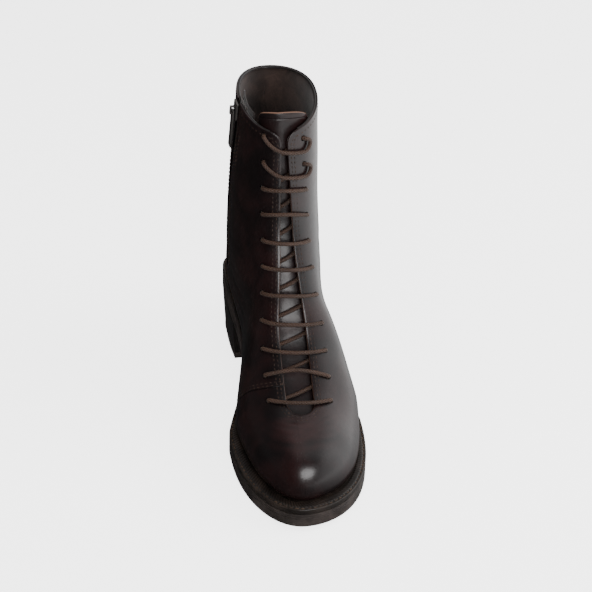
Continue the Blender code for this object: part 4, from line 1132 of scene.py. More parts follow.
class Effects:
    """Shader effects that several finishes share, each a node group."""

    def __init__(self) -> None:
        """Build the groups once."""
        self.grain = self.leather_grain()
        self.mottle = self.dye_mottle()
        self.seam = self.panel_seam()
        self.braid = self.cord_braid()
        self.brushed = self.brushed_marks()

    @staticmethod
    def leather_grain() -> bpy.types.NodeTree:
        """Fine pebbles and soft waves of polished leather, as one height in millimetres."""
        graph, given, result = new_group("Leather grain", {"Scale": 1400.0, "Pebble": 0.03, "Wave": 0.2}, "Height")
        place = graph.place()
        cell = graph.node("ShaderNodeTexVoronoi", feature="SMOOTH_F1")
        graph.feed(cell.inputs["Vector"], place)
        graph.feed(cell.inputs["Scale"], given["Scale"])
        cell.inputs["Smoothness"].default_value = 0.6
        fine = graph.noise(place, graph.math("MULTIPLY", given["Scale"], 2.1), 3.0, 0.6)
        pebble = graph.math("MULTIPLY_ADD", fine, 0.5, graph.math("SUBTRACT", 1.0, cell.outputs[0]))
        wave = graph.noise(place, 42.0, 1.0, 0.4, 0.3)
        height = graph.math("MULTIPLY", pebble, given["Pebble"])
        graph.feed(result["Height"], graph.math("MULTIPLY_ADD", wave, given["Wave"], height))
        return graph.tree

    @staticmethod
    def dye_mottle() -> bpy.types.NodeTree:
        """Uneven dye and rubbed places: a slow mask, a cloudy mask and sparse scuffs."""
        graph, given, result = new_group("Dye mottle", {"Scale": 38.0}, "Slow", "Cloud", "Scuffs")
        place = graph.place()
        slow = graph.noise(place, given["Scale"], 3.0, 0.55, 0.4)
        cloud = graph.noise(place, graph.math("MULTIPLY", given["Scale"], 7.0), 4.0, 0.6)
        graph.feed(result["Slow"], graph.spread(slow, 0.34, 0.68))
        graph.feed(result["Cloud"], graph.spread(cloud, 0.3, 0.75))
        streak = graph.node("ShaderNodeMapping")
        streak.inputs["Scale"].default_value = (1.0, 0.35, 1.0)
        graph.feed(streak.inputs["Vector"], place)
        scuff = graph.noise(streak.outputs[0], 520.0, 4.0, 0.7, 1.2)
        scuffs = graph.math("MULTIPLY", graph.spread(scuff, 0.66, 0.74), graph.spread(slow, 0.5, 0.7))
        graph.feed(result["Scuffs"], scuffs)
        return graph.tree

    @staticmethod
    def panel_seam() -> bpy.types.NodeTree:
        """A raised panel edge and a sewn groove from two distances in millimetres."""
        graph, given, result = new_group("Panel seam", {"Step": 99.0, "Groove": 99.0}, "Height", "Line")
        step = graph.spread(given["Step"], -0.35, 0.25)
        size = graph.math("ABSOLUTE", given["Groove"])
        groove = graph.spread(size, 0.0, 0.8)
        graph.feed(result["Height"], graph.math("MULTIPLY_ADD", step, 0.55, graph.math("MULTIPLY", groove, 0.28)))
        near = graph.spread(graph.math("ABSOLUTE", given["Step"]), 0.1, 0.8, 1.0, 0.0)
        line = graph.math("MAXIMUM", near, graph.spread(size, 0.05, 0.5, 1.0, 0.0))
        graph.feed(result["Line"], line)
        return graph.tree

    @staticmethod
    def cord_braid() -> bpy.types.NodeTree:
        """Braided strands from the turn round the cord and the run along it in millimetres, and a mask of painted
        shade in the gaps between them.
        """
        inputs = {"Cosine": 1.0, "Sine": 0.0, "Run": 0.0, "Strands": 5.0, "Pitch": 2.4}
        graph, given, result = new_group("Cord braid", inputs, "Height", "Gap shade")
        turn = graph.math("MULTIPLY", graph.math("ARCTAN2", given["Sine"], given["Cosine"]), given["Strands"])
        run = graph.math("MULTIPLY", graph.math("DIVIDE", given["Run"], given["Pitch"]), 2 * math.pi)
        one = graph.math("SINE", graph.math("ADD", turn, run))
        other = graph.math("SINE", graph.math("SUBTRACT", turn, run))
        height = graph.math("MAXIMUM", one, other)
        graph.feed(result["Height"], height)
        # Painted shade mask: 1 where the braid is low between the strands.
        graph.feed(result["Gap shade"], graph.spread(height, -0.2, 0.35, 1.0, 0.0))
        return graph.tree

    @staticmethod
    def brushed_marks() -> bpy.types.NodeTree:
        """Fine marks drawn along one direction, for metal and for burnished edges."""
        graph, given, result = new_group("Brushed marks", {"Scale": 900.0, "Stretch": 0.06}, "Mark")
        spread = graph.node("ShaderNodeCombineXYZ")
        graph.feed(spread.inputs[0], given["Scale"])
        graph.feed(spread.inputs[1], given["Scale"])
        graph.feed(spread.inputs[2], graph.math("MULTIPLY", given["Scale"], given["Stretch"]))
        scaled = graph.node("ShaderNodeVectorMath", operation="MULTIPLY")
        graph.feed(scaled.inputs[0], graph.place())
        graph.feed(scaled.inputs[1], spread.outputs[0])
        graph.feed(result["Mark"], graph.noise(scaled.outputs[0], 1.0, 3.0, 0.6))
        return graph.tree


def new_material(
    name: str, roughness: float, specular: float = 0.5, metallic: float = 0.0, coat: float = 0.0,
    coat_roughness: float = 0.1, sheen: float = 0.0,
) -> tuple[Graph, bpy.types.Node]:
    """A material with its Principled shader and the numbers that are the same all over.

    Args:
        name: Name of the material.
        roughness: Roughness of the base.
        specular: Specular level.
        metallic: 1 for metal.
        coat: Weight of the clear coat.
        coat_roughness: Its roughness.
        sheen: Weight of the sheen.

    Returns:
        The graph and the shader node.
    """
    made = bpy.data.materials.new(name)
    made.use_nodes = True
    shader = made.node_tree.nodes["Principled BSDF"]
    for key, value in (
        ("Roughness", roughness), ("Specular IOR Level", specular), ("Metallic", metallic),
        ("Coat Weight", coat), ("Coat Roughness", coat_roughness), ("Sheen Weight", sheen),
    ):
        shader.inputs[key].default_value = value
    return Graph(made.node_tree), shader


@dataclass(frozen=True)
class PolishedLeather:
    """Smooth polished leather: deep dye with a red tint, fine grain, glossy wax."""

    name: str = "polished leather"
    deep: Triple = (0.0046, 0.0026, 0.0028)
    warm: Triple = (0.0150, 0.0054, 0.0054)
    raw: Triple = (0.200, 0.105, 0.070)
    roughness: float = 0.33
    coat: float = 0.45
    pebble: float = 0.030
    wave: float = 0.10
    raw_rim: float = 0.0

    def make(self, effects: Effects) -> bpy.types.Material:
        """Build the material.

        Args:
            effects: The shared groups.

        Returns:
            The material.
        """
        graph, shader = new_material(self.name, self.roughness, 0.5, coat=self.coat, coat_roughness=0.16)
        mottle = graph.group(effects.mottle, Scale=34.0)
        grain = graph.group(effects.grain, Scale=1500.0, Pebble=self.pebble, Wave=self.wave)
        seam = graph.group(effects.seam, Step=graph.attribute("step_mm"), Groove=graph.attribute("groove_mm"))
        colour = graph.blend(mottle["Slow"], self.deep, self.warm)
        colour = graph.blend(graph.math("MULTIPLY", mottle["Cloud"], 0.25), colour, self.deep)
        worn = graph.math("MULTIPLY", graph.attribute("wear"), 0.35)
        colour = graph.blend(worn, colour, tuple(c * 2.2 for c in self.warm))
        colour = graph.blend(graph.math("MULTIPLY", seam["Line"], 0.75), colour, tuple(c * 0.3 for c in self.deep))
        rim = graph.math("MULTIPLY", graph.spread(graph.attribute("rim"), 0.35, 0.8), self.raw_rim)
        rim = graph.math("MULTIPLY", rim, graph.spread(graph.attribute("bound"), 0.0, 1.0, 1.0, 0.0))
        graph.feed(shader.inputs["Base Color"], graph.blend(rim, colour, self.raw))
        rough = graph.math("MULTIPLY_ADD", mottle["Scuffs"], 0.22, self.roughness - 0.03)
        rough = graph.math("MULTIPLY_ADD", mottle["Cloud"], 0.07, rough)
        graph.feed(shader.inputs["Roughness"], graph.math("MULTIPLY_ADD", rim, 0.4, rough))
        lines = graph.bump(seam["Height"], 0.001)
        normal = graph.bump(grain["Height"], 0.001, lines)
        graph.feed(shader.inputs["Normal"], normal)
        graph.feed(shader.inputs["Coat Normal"], normal)
        return bpy.data.materials[self.name]


@dataclass(frozen=True)
class SoftLining:
    """Napped lining leather: matt, brown, slightly uneven."""

    name: str = "lining leather"
    dark: Triple = (0.018, 0.0105, 0.0085)
    light: Triple = (0.050, 0.030, 0.024)
    roughness: float = 0.82
    pebble: float = 0.06

    def make(self, effects: Effects) -> bpy.types.Material:
        """Build the material.

        Args:
            effects: The shared groups.

        Returns:
            The material.
        """
        graph, shader = new_material(self.name, self.roughness, 0.3, sheen=0.25)
        mottle = graph.group(effects.mottle, Scale=60.0)
        grain = graph.group(effects.grain, Scale=1100.0, Pebble=self.pebble, Wave=0.25)
        seam = graph.group(effects.seam, Step=99.0, Groove=graph.attribute("groove_mm"))
        colour = graph.blend(mottle["Slow"], self.dark, self.light)
        colour = graph.blend(graph.math("MULTIPLY", seam["Line"], 0.8), colour, tuple(c * 0.3 for c in self.dark))
        colour = graph.blend(graph.math("MULTIPLY", mottle["Cloud"], 0.4), colour, self.dark)
        graph.feed(shader.inputs["Base Color"], colour)
        graph.feed(shader.inputs["Normal"], graph.bump(grain["Height"], 0.001, graph.bump(seam["Height"], 0.001)))
        return bpy.data.materials[self.name]


@dataclass(frozen=True)
class EdgeRubber:
    """Sole rubber, welt and heel edge: semi-gloss with faint lines along it and painted shade in the welt's recesses.
    """

    name: str = "sole rubber"
    dark: Triple = (0.0240, 0.0185, 0.0165)
    light: Triple = (0.0480, 0.0370, 0.0330)
    roughness: float = 0.38
    coat: float = 0.12

    def make(self, effects: Effects) -> bpy.types.Material:
        """Build the material.

        Args:
            effects: The shared groups.

        Returns:
            The material.
        """
        graph, shader = new_material(self.name, self.roughness, 0.5, coat=self.coat, coat_roughness=0.22)
        mottle = graph.group(effects.mottle, Scale=70.0)
        marks = graph.group(effects.brushed, Scale=260.0, Stretch=5.0)["Mark"]
        colour = graph.blend(mottle["Slow"], self.dark, self.light)
        colour = graph.blend(graph.math("MULTIPLY", graph.spread(marks, 0.5, 0.7), 0.45), colour, self.dark)
        # Painted shade: the welt's recesses, its sewing groove and the row under the upper are darkened towards near
        # black.
        hollow = graph.math("MULTIPLY", graph.attribute("hollow"), 0.92)
        graph.feed(shader.inputs["Base Color"], graph.blend(hollow, colour, tuple(c * 0.12 for c in self.dark)))
        rough = graph.math("MULTIPLY_ADD", mottle["Scuffs"], 0.25, self.roughness)
        graph.feed(shader.inputs["Roughness"], graph.math("MULTIPLY_ADD", mottle["Cloud"], 0.08, rough))
        grain = graph.group(effects.grain, Scale=2600.0, Pebble=0.012, Wave=0.03)
        lines = graph.math("MULTIPLY_ADD", marks, 0.05, grain["Height"])
        graph.feed(shader.inputs["Normal"], graph.bump(lines, 0.001))
        return bpy.data.materials[self.name]


@dataclass(frozen=True)
class WaxedCord:
    """Round braided lace: brown waxed strands, with painted shade in the gaps between them."""

    name: str = "waxed cord"
    strand: Triple = (0.052, 0.027, 0.0175)
    # Painted shade colour of the gaps between the strands.
    gap: Triple = (0.018, 0.009, 0.006)
    roughness: float = 0.50

    def make(self, effects: Effects) -> bpy.types.Material:
        """Build the material.

        Args:
            effects: The shared groups.

        Returns:
            The material.
        """
        graph, shader = new_material(self.name, self.roughness, 0.45, sheen=0.04)
        cosine, sine, run = (graph.attribute(name) for name in ("turn_cos", "turn_sin", "run_mm"))
        braid = graph.group(effects.braid, Cosine=cosine, Sine=sine, Run=run)
        mottle = graph.group(effects.mottle, Scale=90.0)
        colour = graph.blend(mottle["Slow"], tuple(c * 0.72 for c in self.strand), self.strand)
        # Painted shade: the gaps between the strands are darkened towards the gap colour.
        colour = graph.blend(graph.math("MULTIPLY", braid["Gap shade"], 0.8), colour, self.gap)
        graph.feed(shader.inputs["Base Color"], colour)
        graph.feed(shader.inputs["Normal"], graph.bump(braid["Height"], 0.00016))
        return bpy.data.materials[self.name]


@dataclass(frozen=True)
class SewingThread:
    """Twisted thread of the seams."""

    name: str = "dark thread"
    colour: Triple = (0.020, 0.012, 0.009)
    light: Triple = (0.048, 0.028, 0.020)

    def make(self, effects: Effects) -> bpy.types.Material:
        """Build the material.

        Args:
            effects: The shared groups.

        Returns:
            The material.
        """
        graph, shader = new_material(self.name, 0.55, 0.4)
        mottle = graph.group(effects.mottle, Scale=160.0)
        marks = graph.group(effects.brushed, Scale=3200.0, Stretch=0.5)["Mark"]
        graph.feed(shader.inputs["Base Color"], graph.blend(mottle["Slow"], self.colour, self.light))
        graph.feed(shader.inputs["Normal"], graph.bump(marks, 0.00012))
        return bpy.data.materials[self.name]


@dataclass(frozen=True)
class Metalwork:
    """Worn gunmetal of the zip."""

    name: str = "gunmetal"
    dark: Triple = (0.085, 0.078, 0.070)
    light: Triple = (0.230, 0.205, 0.180)
    roughness: float = 0.32

    def make(self, effects: Effects) -> bpy.types.Material:
        """Build the material.

        Args:
            effects: The shared groups.

        Returns:
            The material.
        """
        graph, shader = new_material(self.name, self.roughness, 0.5, metallic=1.0)
        mottle = graph.group(effects.mottle, Scale=120.0)
        marks = graph.group(effects.brushed, Scale=1400.0, Stretch=0.05)["Mark"]
        graph.feed(shader.inputs["Base Color"], graph.blend(mottle["Slow"], self.dark, self.light))
        graph.feed(shader.inputs["Roughness"], graph.math("MULTIPLY_ADD", marks, 0.2, self.roughness - 0.08))
        graph.feed(shader.inputs["Normal"], graph.bump(marks, 0.00005))
        return bpy.data.materials[self.name]


@dataclass(frozen=True)
class WovenTape:
    """Woven cloth of the zip's tape."""

    name: str = "woven tape"
    dark: Triple = (0.010, 0.007, 0.006)
    light: Triple = (0.034, 0.022, 0.018)

    def make(self, effects: Effects) -> bpy.types.Material:
        """Build the material.

        Args:
            effects: The shared groups; not used.

        Returns:
            The material.
        """
        graph, shader = new_material(self.name, 0.85, 0.3, sheen=0.3)
        split = graph.node("ShaderNodeSeparateXYZ")
        graph.feed(split.inputs[0], graph.place())
        up = graph.math("SINE", graph.math("MULTIPLY", split.outputs[2], 9000.0))
        across = graph.math("SINE", graph.math("MULTIPLY", split.outputs[1], 9000.0))
        weave = graph.math("MULTIPLY", up, across)
        graph.feed(shader.inputs["Base Color"], graph.blend(graph.spread(weave, -0.6, 0.6), self.dark, self.light))
        graph.feed(shader.inputs["Normal"], graph.bump(weave, 0.00012))
        return bpy.data.materials[self.name]


@dataclass
class UpperShell:
    """The leather upper: one rounded-edge wall with creases, sewn panels, eyelet holes and the zip's slot."""

    surface: UpperSurface
    front: FrontMap
    thickness: float = 0.00140
    columns: int = 214
    eyelet_radius: float = 0.0021
    slot_width: float = 0.0070
    slot_rise: float = 0.0280
    zip_forward: float = 0.0610
    ridge_share: float = 0.35
    ridge_place: float = 1.9
    lining_depths: tuple[float, float] = (0.00145, 0.00220)
    piping_radius: float = 0.00100
    piping_depth: float = 0.0021
    vamp_creases = (
        # place above the throat's end, bow over x, half width, depth, spread (all metres but the bow)
        (-0.0065, 4.0, 0.017, 0.00008, 0.0016),
        (-0.0115, 6.0, 0.021, 0.00013, 0.0020),
        (-0.0165, 8.0, 0.024, 0.00012, 0.0024),
        (-0.0240, 9.0, 0.026, 0.00009, 0.0032),
    )
    side_creases = (
        # forward and height of both ends, depth, spread
        (0.118, 0.076, 0.088, 0.086, 0.00050, 0.0028),
        (0.112, 0.092, 0.078, 0.098, 0.00045, 0.0030),
        (0.104, 0.108, 0.066, 0.112, 0.00035, 0.0032),
        (0.098, 0.130, 0.060, 0.133, 0.00020, 0.0036),
    )
    panel_seam = (
        # x, forward, z from the throat's edge down to the welt
        (-0.0100, 0.1843, 0.0672), (-0.0128, 0.1839, 0.0667), (-0.0229, 0.1814, 0.0639), (-0.0327, 0.1761, 0.0579),
        (-0.0391, 0.1700, 0.0467), (-0.0402, 0.1650, 0.0400), (-0.0405, 0.1560, 0.0330), (-0.0400, 0.1400, 0.0280),
    )

    def row_lengths(self) -> Array:
        """Rows up the front, closer at the throat's end and at the top corners."""
        surface, form = self.surface, self.surface.form
        bottom = form.throat_width / 2
        turn = np.linspace(0, math.pi / 2, 12)
        end = surface.throat + bottom * (1 - np.cos(turn))
        corner = surface.collar - form.corner_radius
        return np.concatenate([
            np.linspace(0, surface.throat, 60)[:-1], end, np.linspace(end[-1], corner, 100)[1:],
            corner + form.corner_radius * np.sin(np.linspace(0, math.pi / 2, 10))[1:],
        ])

    def creases(self, lengths: Array, places: Array) -> tuple[Array, Array]:
        """Depth of the creases at each place, each a soft trough with low ridges beside it.

        A trough is depth * (exp(-d**2) - share * exp(-(|d| - place)**2)), with d the distance from its line
        over its spread and share and place those of the ridges, faded to nothing at its ends.

        Args:
            lengths: Length up the front of each row.
            places: Places with shape (rows, columns, 3).

        Returns:
            Inward depth in metres, and a 0 to 1 mask of worn ridges.
        """
        x = places[..., 0] - self.surface.form.throat_centre
        forward, z = places[..., 1], places[..., 2]
        depth, wear = np.zeros(x.shape), np.zeros(x.shape)
        rise = (lengths - self.surface.throat)[:, None]

        def press(d: Array, fade: Array, deep: float, rub: float) -> None:
            """Add one trough and the worn ridges beside it."""
            ridge = np.exp(-((np.abs(d) - self.ridge_place) ** 2))
            depth[...] += deep * fade * (np.exp(-(d**2)) - self.ridge_share * ridge)
            wear[...] += fade * ridge * rub

        for at, bow, half, deep, spread in self.vamp_creases:
            wander = 0.0007 * np.sin(x * 210 + at * 900) + 0.0004 * np.sin(x * 470 + at * 500)
            d = (rise - at + bow * x**2 + wander) / spread
            press(d, np.exp(-((np.abs(x) / half) ** 4)) * (forward > 0.12), deep, 0.6)
        for f0, z0, f1, z1, deep, spread in self.side_creases:
            span = np.hypot(f1 - f0, z1 - z0)
            u = ((forward - f0) * (f1 - f0) + (z - z0) * (z1 - z0)) / span**2
            d = (-(forward - f0) * (z1 - z0) + (z - z0) * (f1 - f0)) / span
            d = (d + 0.004 * (u - 0.5) ** 2 + 0.0006 * np.sin(u * 9)) / spread
            fade = np.exp(-(((u - 0.5) / 0.5) ** 4)) * (np.abs(x) > 0.012)
            press(d, fade * (0.55 + 0.45 * (x > 0)), deep, 0.4)
        slack = 0.00022 * np.sin(z * 95 + x * 60) * np.sin(forward * 70 + z * 30) * smooth_step(0.06, 0.12, z)
        return depth + slack, np.clip(wear, 0, 1)

    def seam_path(self, count: int) -> Array:
        """Points of the panel's edge on the outer face."""
        line = smooth_path(np.array(self.panel_seam), 0.0005)
        picked = line[np.linspace(0, len(line) - 1, count).astype(int)]
        return self.surface.form.settled(picked, 6)

    def seam_values(self, places: Array) -> tuple[Array, Array]:
        """Distances in millimetres from the medial panel edge (signed) and from the back seam.

        Args:
            places: Places on the outer face.

        Returns:
            Both distances, 99 where they are out of reach.
        """
        x, forward = places[..., 0], places[..., 1]
        best, sign = np.full(x.shape, 9.0), np.ones(x.shape)
        line = self.seam_path(28)
        for start, along in zip(line[:-1], np.diff(line, axis=0)):
            share = np.clip(((places - start) * along).sum(axis=-1) / (along**2).sum(), 0, 1)
            apart = places - start - share[..., None] * along
            gap = np.linalg.norm(apart, axis=-1)
            heelward = apart[..., 1] * 0.8 - apart[..., 2] * 0.6 < 0
            sign = np.where(gap < best, np.where(heelward, 1.0, -1.0), sign)
            best = np.minimum(best, gap)
        step = np.where(x < -0.004, sign * best * 1000, 99.0)
        groove = np.where(forward < 0.045, np.abs(x) * 1000, 99.0)
        return step, groove

    def outer_grid(self) -> tuple[Array, Array, Array, dict[str, Array]]:
        """Rows, finished outer places, wall directions and values of the shell."""
        form = self.surface.form
        lengths = self.row_lengths()
        places = self.surface.sheet(lengths, self.columns)
        normals = form.normals(places)
        above = places[..., 2] - form.feather(places[..., 1])
        tucked = above / (4 * form.feather_tuck)
        pull = form.feather_tuck * np.clip(1 - tucked, 0, 1) ** 2
        lean = np.clip(tucked, 0, 1)
        directions = unit(normals * np.stack([np.ones_like(lean), np.ones_like(lean), lean], axis=-1))
        depth, wear = self.creases(lengths, places)
        step, groove = self.seam_values(places)
        below = lengths[:, None] - self.surface.collar
        depth = depth * smooth_step(0.001, 0.012, above) * smooth_step(0.0, 0.02, np.abs(below))
        places = places - normals * np.array([1, 1, 0]) * pull[..., None] - normals * depth[..., None]
        bound = np.broadcast_to(smooth_step(0.0, 0.05, below + 0.07), wear.shape)
        return lengths, places, directions, {"wear": wear, "step_mm": step, "groove_mm": groove, "bound": bound}

    def cutter(self) -> bpy.types.Object:
        """The eyelet punches and the zip's slot, as one cutting piece."""
        work = bmesh.new()
        form, surface = self.surface.form, self.surface
        lengths = surface.eyelet_length(np.arange(form.eyelet_pairs))
        for side in Side:
            raised = lengths + (surface.medial_lift if side is Side.MEDIAL else 0.0)
            arcs = self.front.edge(np.minimum(raised, surface.collar - form.corner_radius), side)
            places, normals = self.front.read(raised, arcs + side.value * form.eyelet_inset)
            for place, normal in zip(form.sole.to_world(places), world_way(normals)):
                radii = {"radius1": self.eyelet_radius, "radius2": self.eyelet_radius}
                punch = bmesh.ops.create_cone(work, cap_ends=True, segments=24, depth=0.011, **radii)["verts"]
                turn = Vector((0, 0, 1)).rotation_difference(Vector(normal))
                bmesh.ops.rotate(work, verts=punch, cent=(0, 0, 0), matrix=turn.to_matrix())
                bmesh.ops.translate(work, verts=punch, vec=tuple(place - normal * 0.001))
        low, high = form.seat + self.slot_rise, form.collar_side + 0.03
        slot = bmesh.ops.create_cube(work, size=1.0)["verts"]
        middle = (-0.038, form.sole.origin_forward - self.zip_forward, (low + high) / 2)
        bmesh.ops.scale(work, verts=slot, vec=(0.05, self.slot_width, high - low))
        bmesh.ops.translate(work, verts=slot, vec=middle)
        mesh = bpy.data.meshes.new("punches")
        work.to_mesh(mesh)
        work.free()
        return placed("punches", mesh)

    @staticmethod
    def punched(item: bpy.types.Object, cutter: bpy.types.Object) -> None:
        """Cut a piece with the punches and keep the result as its mesh.

        Args:
            item: The piece.
            cutter: The punches.
        """
        cut = item.modifiers.new("punches", "BOOLEAN")
        cut.operation = "DIFFERENCE"
        cut.solver = "EXACT"
        cut.object = cutter
        view = bpy.context.evaluated_depsgraph_get()
        mesh = bpy.data.meshes.new_from_object(item.evaluated_get(view))
        item.modifiers.clear()
        item.data = mesh

    def lining(self, outer: Array, directions: Array, lengths: Array, groove: Array) -> bpy.types.Object:
        """The lining: every other row and column of the shell, one wall further in.

        Args:
            outer: Outer places of the shell.
            directions: Wall directions of the shell.
            lengths: Length up the front of each row.
            groove: Distance from the back seam in millimetres.

        Returns:
            The lining, not yet punched.
        """
        count, near_slit = len(lengths), lengths >= self.surface.throat - 1e-9
        slit = int(np.argmax(near_slit))
        fine = [np.arange(0, count - 12, 2), np.arange(count - 12, count), np.arange(slit, slit + 12)]
        rows, columns = np.unique(np.concatenate(fine)), np.arange(0, self.columns + 1, 2)
        rest, way, groove = (grid[rows][:, columns] for grid in (outer, directions, groove))
        below = self.surface.collar - lengths[rows][:, None]
        rest = rest - np.array([0, 0, 0.0006]) * (1 - smooth_step(0.0, 0.008, below))[..., None]
        faces = (rest - way * depth for depth in self.lining_depths)
        shape = Shape()
        slit = int(np.argmax(near_slit[rows]))
        lipped_sheet(shape, *faces, slit, 3, self.surface.form.sole.to_world, groove_mm=groove)
        return shape.piece("upper_lining", 60)

    def piping(self, collar: Array) -> bpy.types.Object:
        """The collar's turned edge: a thin roll, thinner over the back seam and open at the zip.

        Args:
            collar: Places of the roll's centre, round the collar.

        Returns:
            The piece.
        """
        thick = self.piping_radius * (1 - 0.3 * np.exp(-((collar[:, 0] / 0.003) ** 2)) * (collar[:, 1] < 0.05))
        keep = (np.abs(collar[:, 1] - self.zip_forward) > 0.0042) | (collar[:, 0] > 0)
        shape, path = Shape(), self.surface.form.sole.to_world(collar)
        for run in unbroken(keep, 3):
            tube(shape, path[run], thick[run], 12)
        return shape.piece("collar_piping", 60)

    def build(self) -> list[bpy.types.Object]:
        """Make the shell, its lining and the piped collar."""
        lengths, outer, directions, values = self.outer_grid()
        slit = int(np.argmax(lengths >= self.surface.throat - 1e-9))
        shape = Shape()
        inner = outer - directions * self.thickness
        lipped_sheet(shape, outer, inner, slit, 5, self.surface.form.sole.to_world, **values)
        shell = shape.piece("upper_leather_shell", 60)
        lining = self.lining(outer, directions, lengths, values["groove_mm"])
        cutter = self.cutter()
        self.punched(shell, cutter)
        self.punched(lining, cutter)
        bpy.data.objects.remove(cutter)
        return [shell, lining, self.piping(outer[-1] - directions[-1] * self.piping_depth - np.array([0, 0, 0.0003]))]


@dataclass
class Tongue:
    """The tongue under the lacing, with a raw top edge."""

    front: FrontMap
    thickness: float = 0.0020
    margin: float = 0.0175
    top_margins: tuple[float, float] = (0.0262, 0.0310)
    corner_fall: float = 0.0085
    flare: float = 0.035
    rise: float = 0.0125
    tilt: float = 0.0024
    underlap: float = 0.0145
    row_drop: float = 0.0042
    lace_radius: float = 0.0015
    rows: int = 120
    columns: int = 44

    def build(self) -> bpy.types.Object:
        """Make the tongue: a sheet that dives below the lace and bellies softly between the facings."""
        surface, form = self.front.surface, self.front.surface.form
        start, end = surface.throat - self.underlap, surface.collar + self.rise
        lengths = np.linspace(start, end, self.rows)
        inside = np.clip(lengths, surface.throat + form.throat_width / 2, surface.collar - form.corner_radius)
        flared = smooth_step(surface.collar - self.flare, surface.collar, lengths)
        left, right = (
            self.front.edge(inside, side) + side.value * (self.margin + (top - self.margin) * flared)
            for side, top in zip(Side, self.top_margins)
        )
        corner = np.sqrt(np.clip(1 - np.clip((lengths - end + 0.006) / 0.006, 0, 0.999) ** 2, 0, 1))
        across = 2 * np.linspace(0, 1, self.columns)[None, :] - 1
        middle, half = (left + right)[:, None] / 2, (right - left)[:, None] / 2
        arcs = middle + half * across * (0.90 + 0.10 * corner[:, None])
        fall = self.corner_fall * smooth_step(surface.collar - 0.06, end, lengths)[:, None]
        tilt = self.tilt / self.corner_fall * fall
        grid_lengths = lengths[:, None] - fall * across**2 - tilt * across
        ramp = np.clip((lengths - start) / (1.2 * self.underlap), 0, 1)[:, None]
        shallow, gap = form.wall + 0.0006, 0.0003
        deep = form.wall + 2 * self.lace_radius + 4 * gap
        sink = shallow + (deep - shallow) * (3 * ramp**2 - 2 * ramp**3)
        ripple = 0.00025 * np.sin(lengths * 210)[:, None] * np.cos(across * 2.4)
        ripple = ripple + 0.00018 * np.sin(lengths * 95 + 1.2)[:, None] * across
        outer, normals = self.front.read(grid_lengths, arcs, -sink - np.abs(ripple) * ramp)
        flat = outer[:, self.columns // 2, 1][:, None] - 0.0045 * across**2
        level = smooth_step(surface.collar - 0.018, surface.collar + self.rise, lengths)[:, None]
        outer[..., 1] += 0.55 * level * np.clip(flat - outer[..., 1], 0, 0.009)
        values = {
            "wear": 0.35 * np.exp(-((across / 0.4) ** 2)), "step_mm": 99.0,
            "groove_mm": np.abs(lengths[:, None] - (end - self.row_drop)) * 1000,
        }
        values = {name: np.broadcast_to(value, arcs.shape) for name, value in values.items()}
        shape = Shape()
        lipped_sheet(shape, outer, outer - normals * self.thickness, 0, 5, form.sole.to_world, **values)
        return shape.piece("tongue_leather", 60)


@dataclass
class Lacing:
    """The lace: bars across the throat, in by the outer eyelet and on by a hidden diagonal."""

    front: FrontMap
    radius: float = 0.00150
    sides: int = 12
    loop_reach: float = 0.004
    bars = (
        # sag of the bar, below 0 where it bows up, and its reach past the outer eyelet, in millimetres
        (7.6, 5.0), (7.0, 4.8), (-2.6, 0.8), (-4.0, 0.6), (-1.2, 0.6), (-1.6, 1.0),
        (-2.2, 0.6), (-0.2, 0.6), (1.0, 0.5), (-5.6, 0.0), (0.7, 0.4),
    )

    def route(self) -> Array:
        """Control places of the lace, from the top medial eyelet down.

        Each bar leaves its medial hole and hangs as sag * sin(pi * t). One with a long reach keeps its sag
        past the middle, swings round outside the outer hole and comes back to it from above. Below the
        leather the lace runs straight to the next medial hole.

        Returns:
            World places.
        """
        surface, form = self.front.surface, self.front.surface.form
        lift, sink = self.radius + 0.0006, form.wall + self.radius + 0.00045
        count = form.eyelet_pairs
        lengths = surface.eyelet_length(np.arange(count))
        inside = np.minimum(lengths, surface.collar - form.corner_radius)
        raised = np.minimum(lengths + surface.medial_lift, surface.collar - form.corner_radius)
        medial = self.front.edge(raised, Side.MEDIAL) - form.eyelet_inset
        lateral = self.front.edge(inside, Side.LATERAL) + form.eyelet_inset
        rows: list[Triple] = []
        for index, (sag, reach) in enumerate(self.bars):
            length, start, end = lengths[index], medial[index], lateral[index]
            sag, reach = sag / 1000, reach / 1000
            high = length + surface.medial_lift
            rows += [(high, start, -sink), (high, start, -0.0006), (high - 0.06 * sag, start + 0.0011, lift * 0.8)]
            looped = reach >= self.loop_reach
            for t in np.linspace(0.14, 1.0 if looped else 0.86, 7):
                drop = sag * math.sin(math.pi * (min(t, 0.5) if looped else t))
                drop += sag * 0.5 * max(t - 0.5, 0.0) * looped
                rows.append((high + (length - high) * t - drop, start + (end - start) * t, lift))
            if looped:
                rows += [
                    (length - sag * 1.16, end + reach * 0.62, lift), (length - sag * 0.86, end + reach * 1.02, lift),
                    (length - sag * 0.46, end + reach * 0.98, lift), (length - sag * 0.20, end + reach * 0.58, lift),
                    (length - sag * 0.10, end + 0.0014, lift * 0.8),
                ]
            else:
                rows.append((length - 0.06 * sag, end - 0.0009 + reach * 0.6, lift * 0.8))
            rows += [(length, end, -0.0006), (length, end, -sink)]
            if index + 1 < count:
                following, fall = medial[index + 1], form.eyelet_spacing - surface.medial_lift
                for t in (0.2, 0.4, 0.6, 0.8):
                    rows.append((length - fall * t, end + (following - end) * t, -sink))
        table = np.array(rows)
        places, _ = self.front.read(table[:, 0], table[:, 1], table[:, 2])
        return form.sole.to_world(places)

    def build(self) -> bpy.types.Object:
        """Make the lace as one tube."""
        shape = Shape()
        tube(shape, smooth_path(self.route(), 0.0008), self.radius, self.sides)
        return shape.piece("lace_cord", 80)


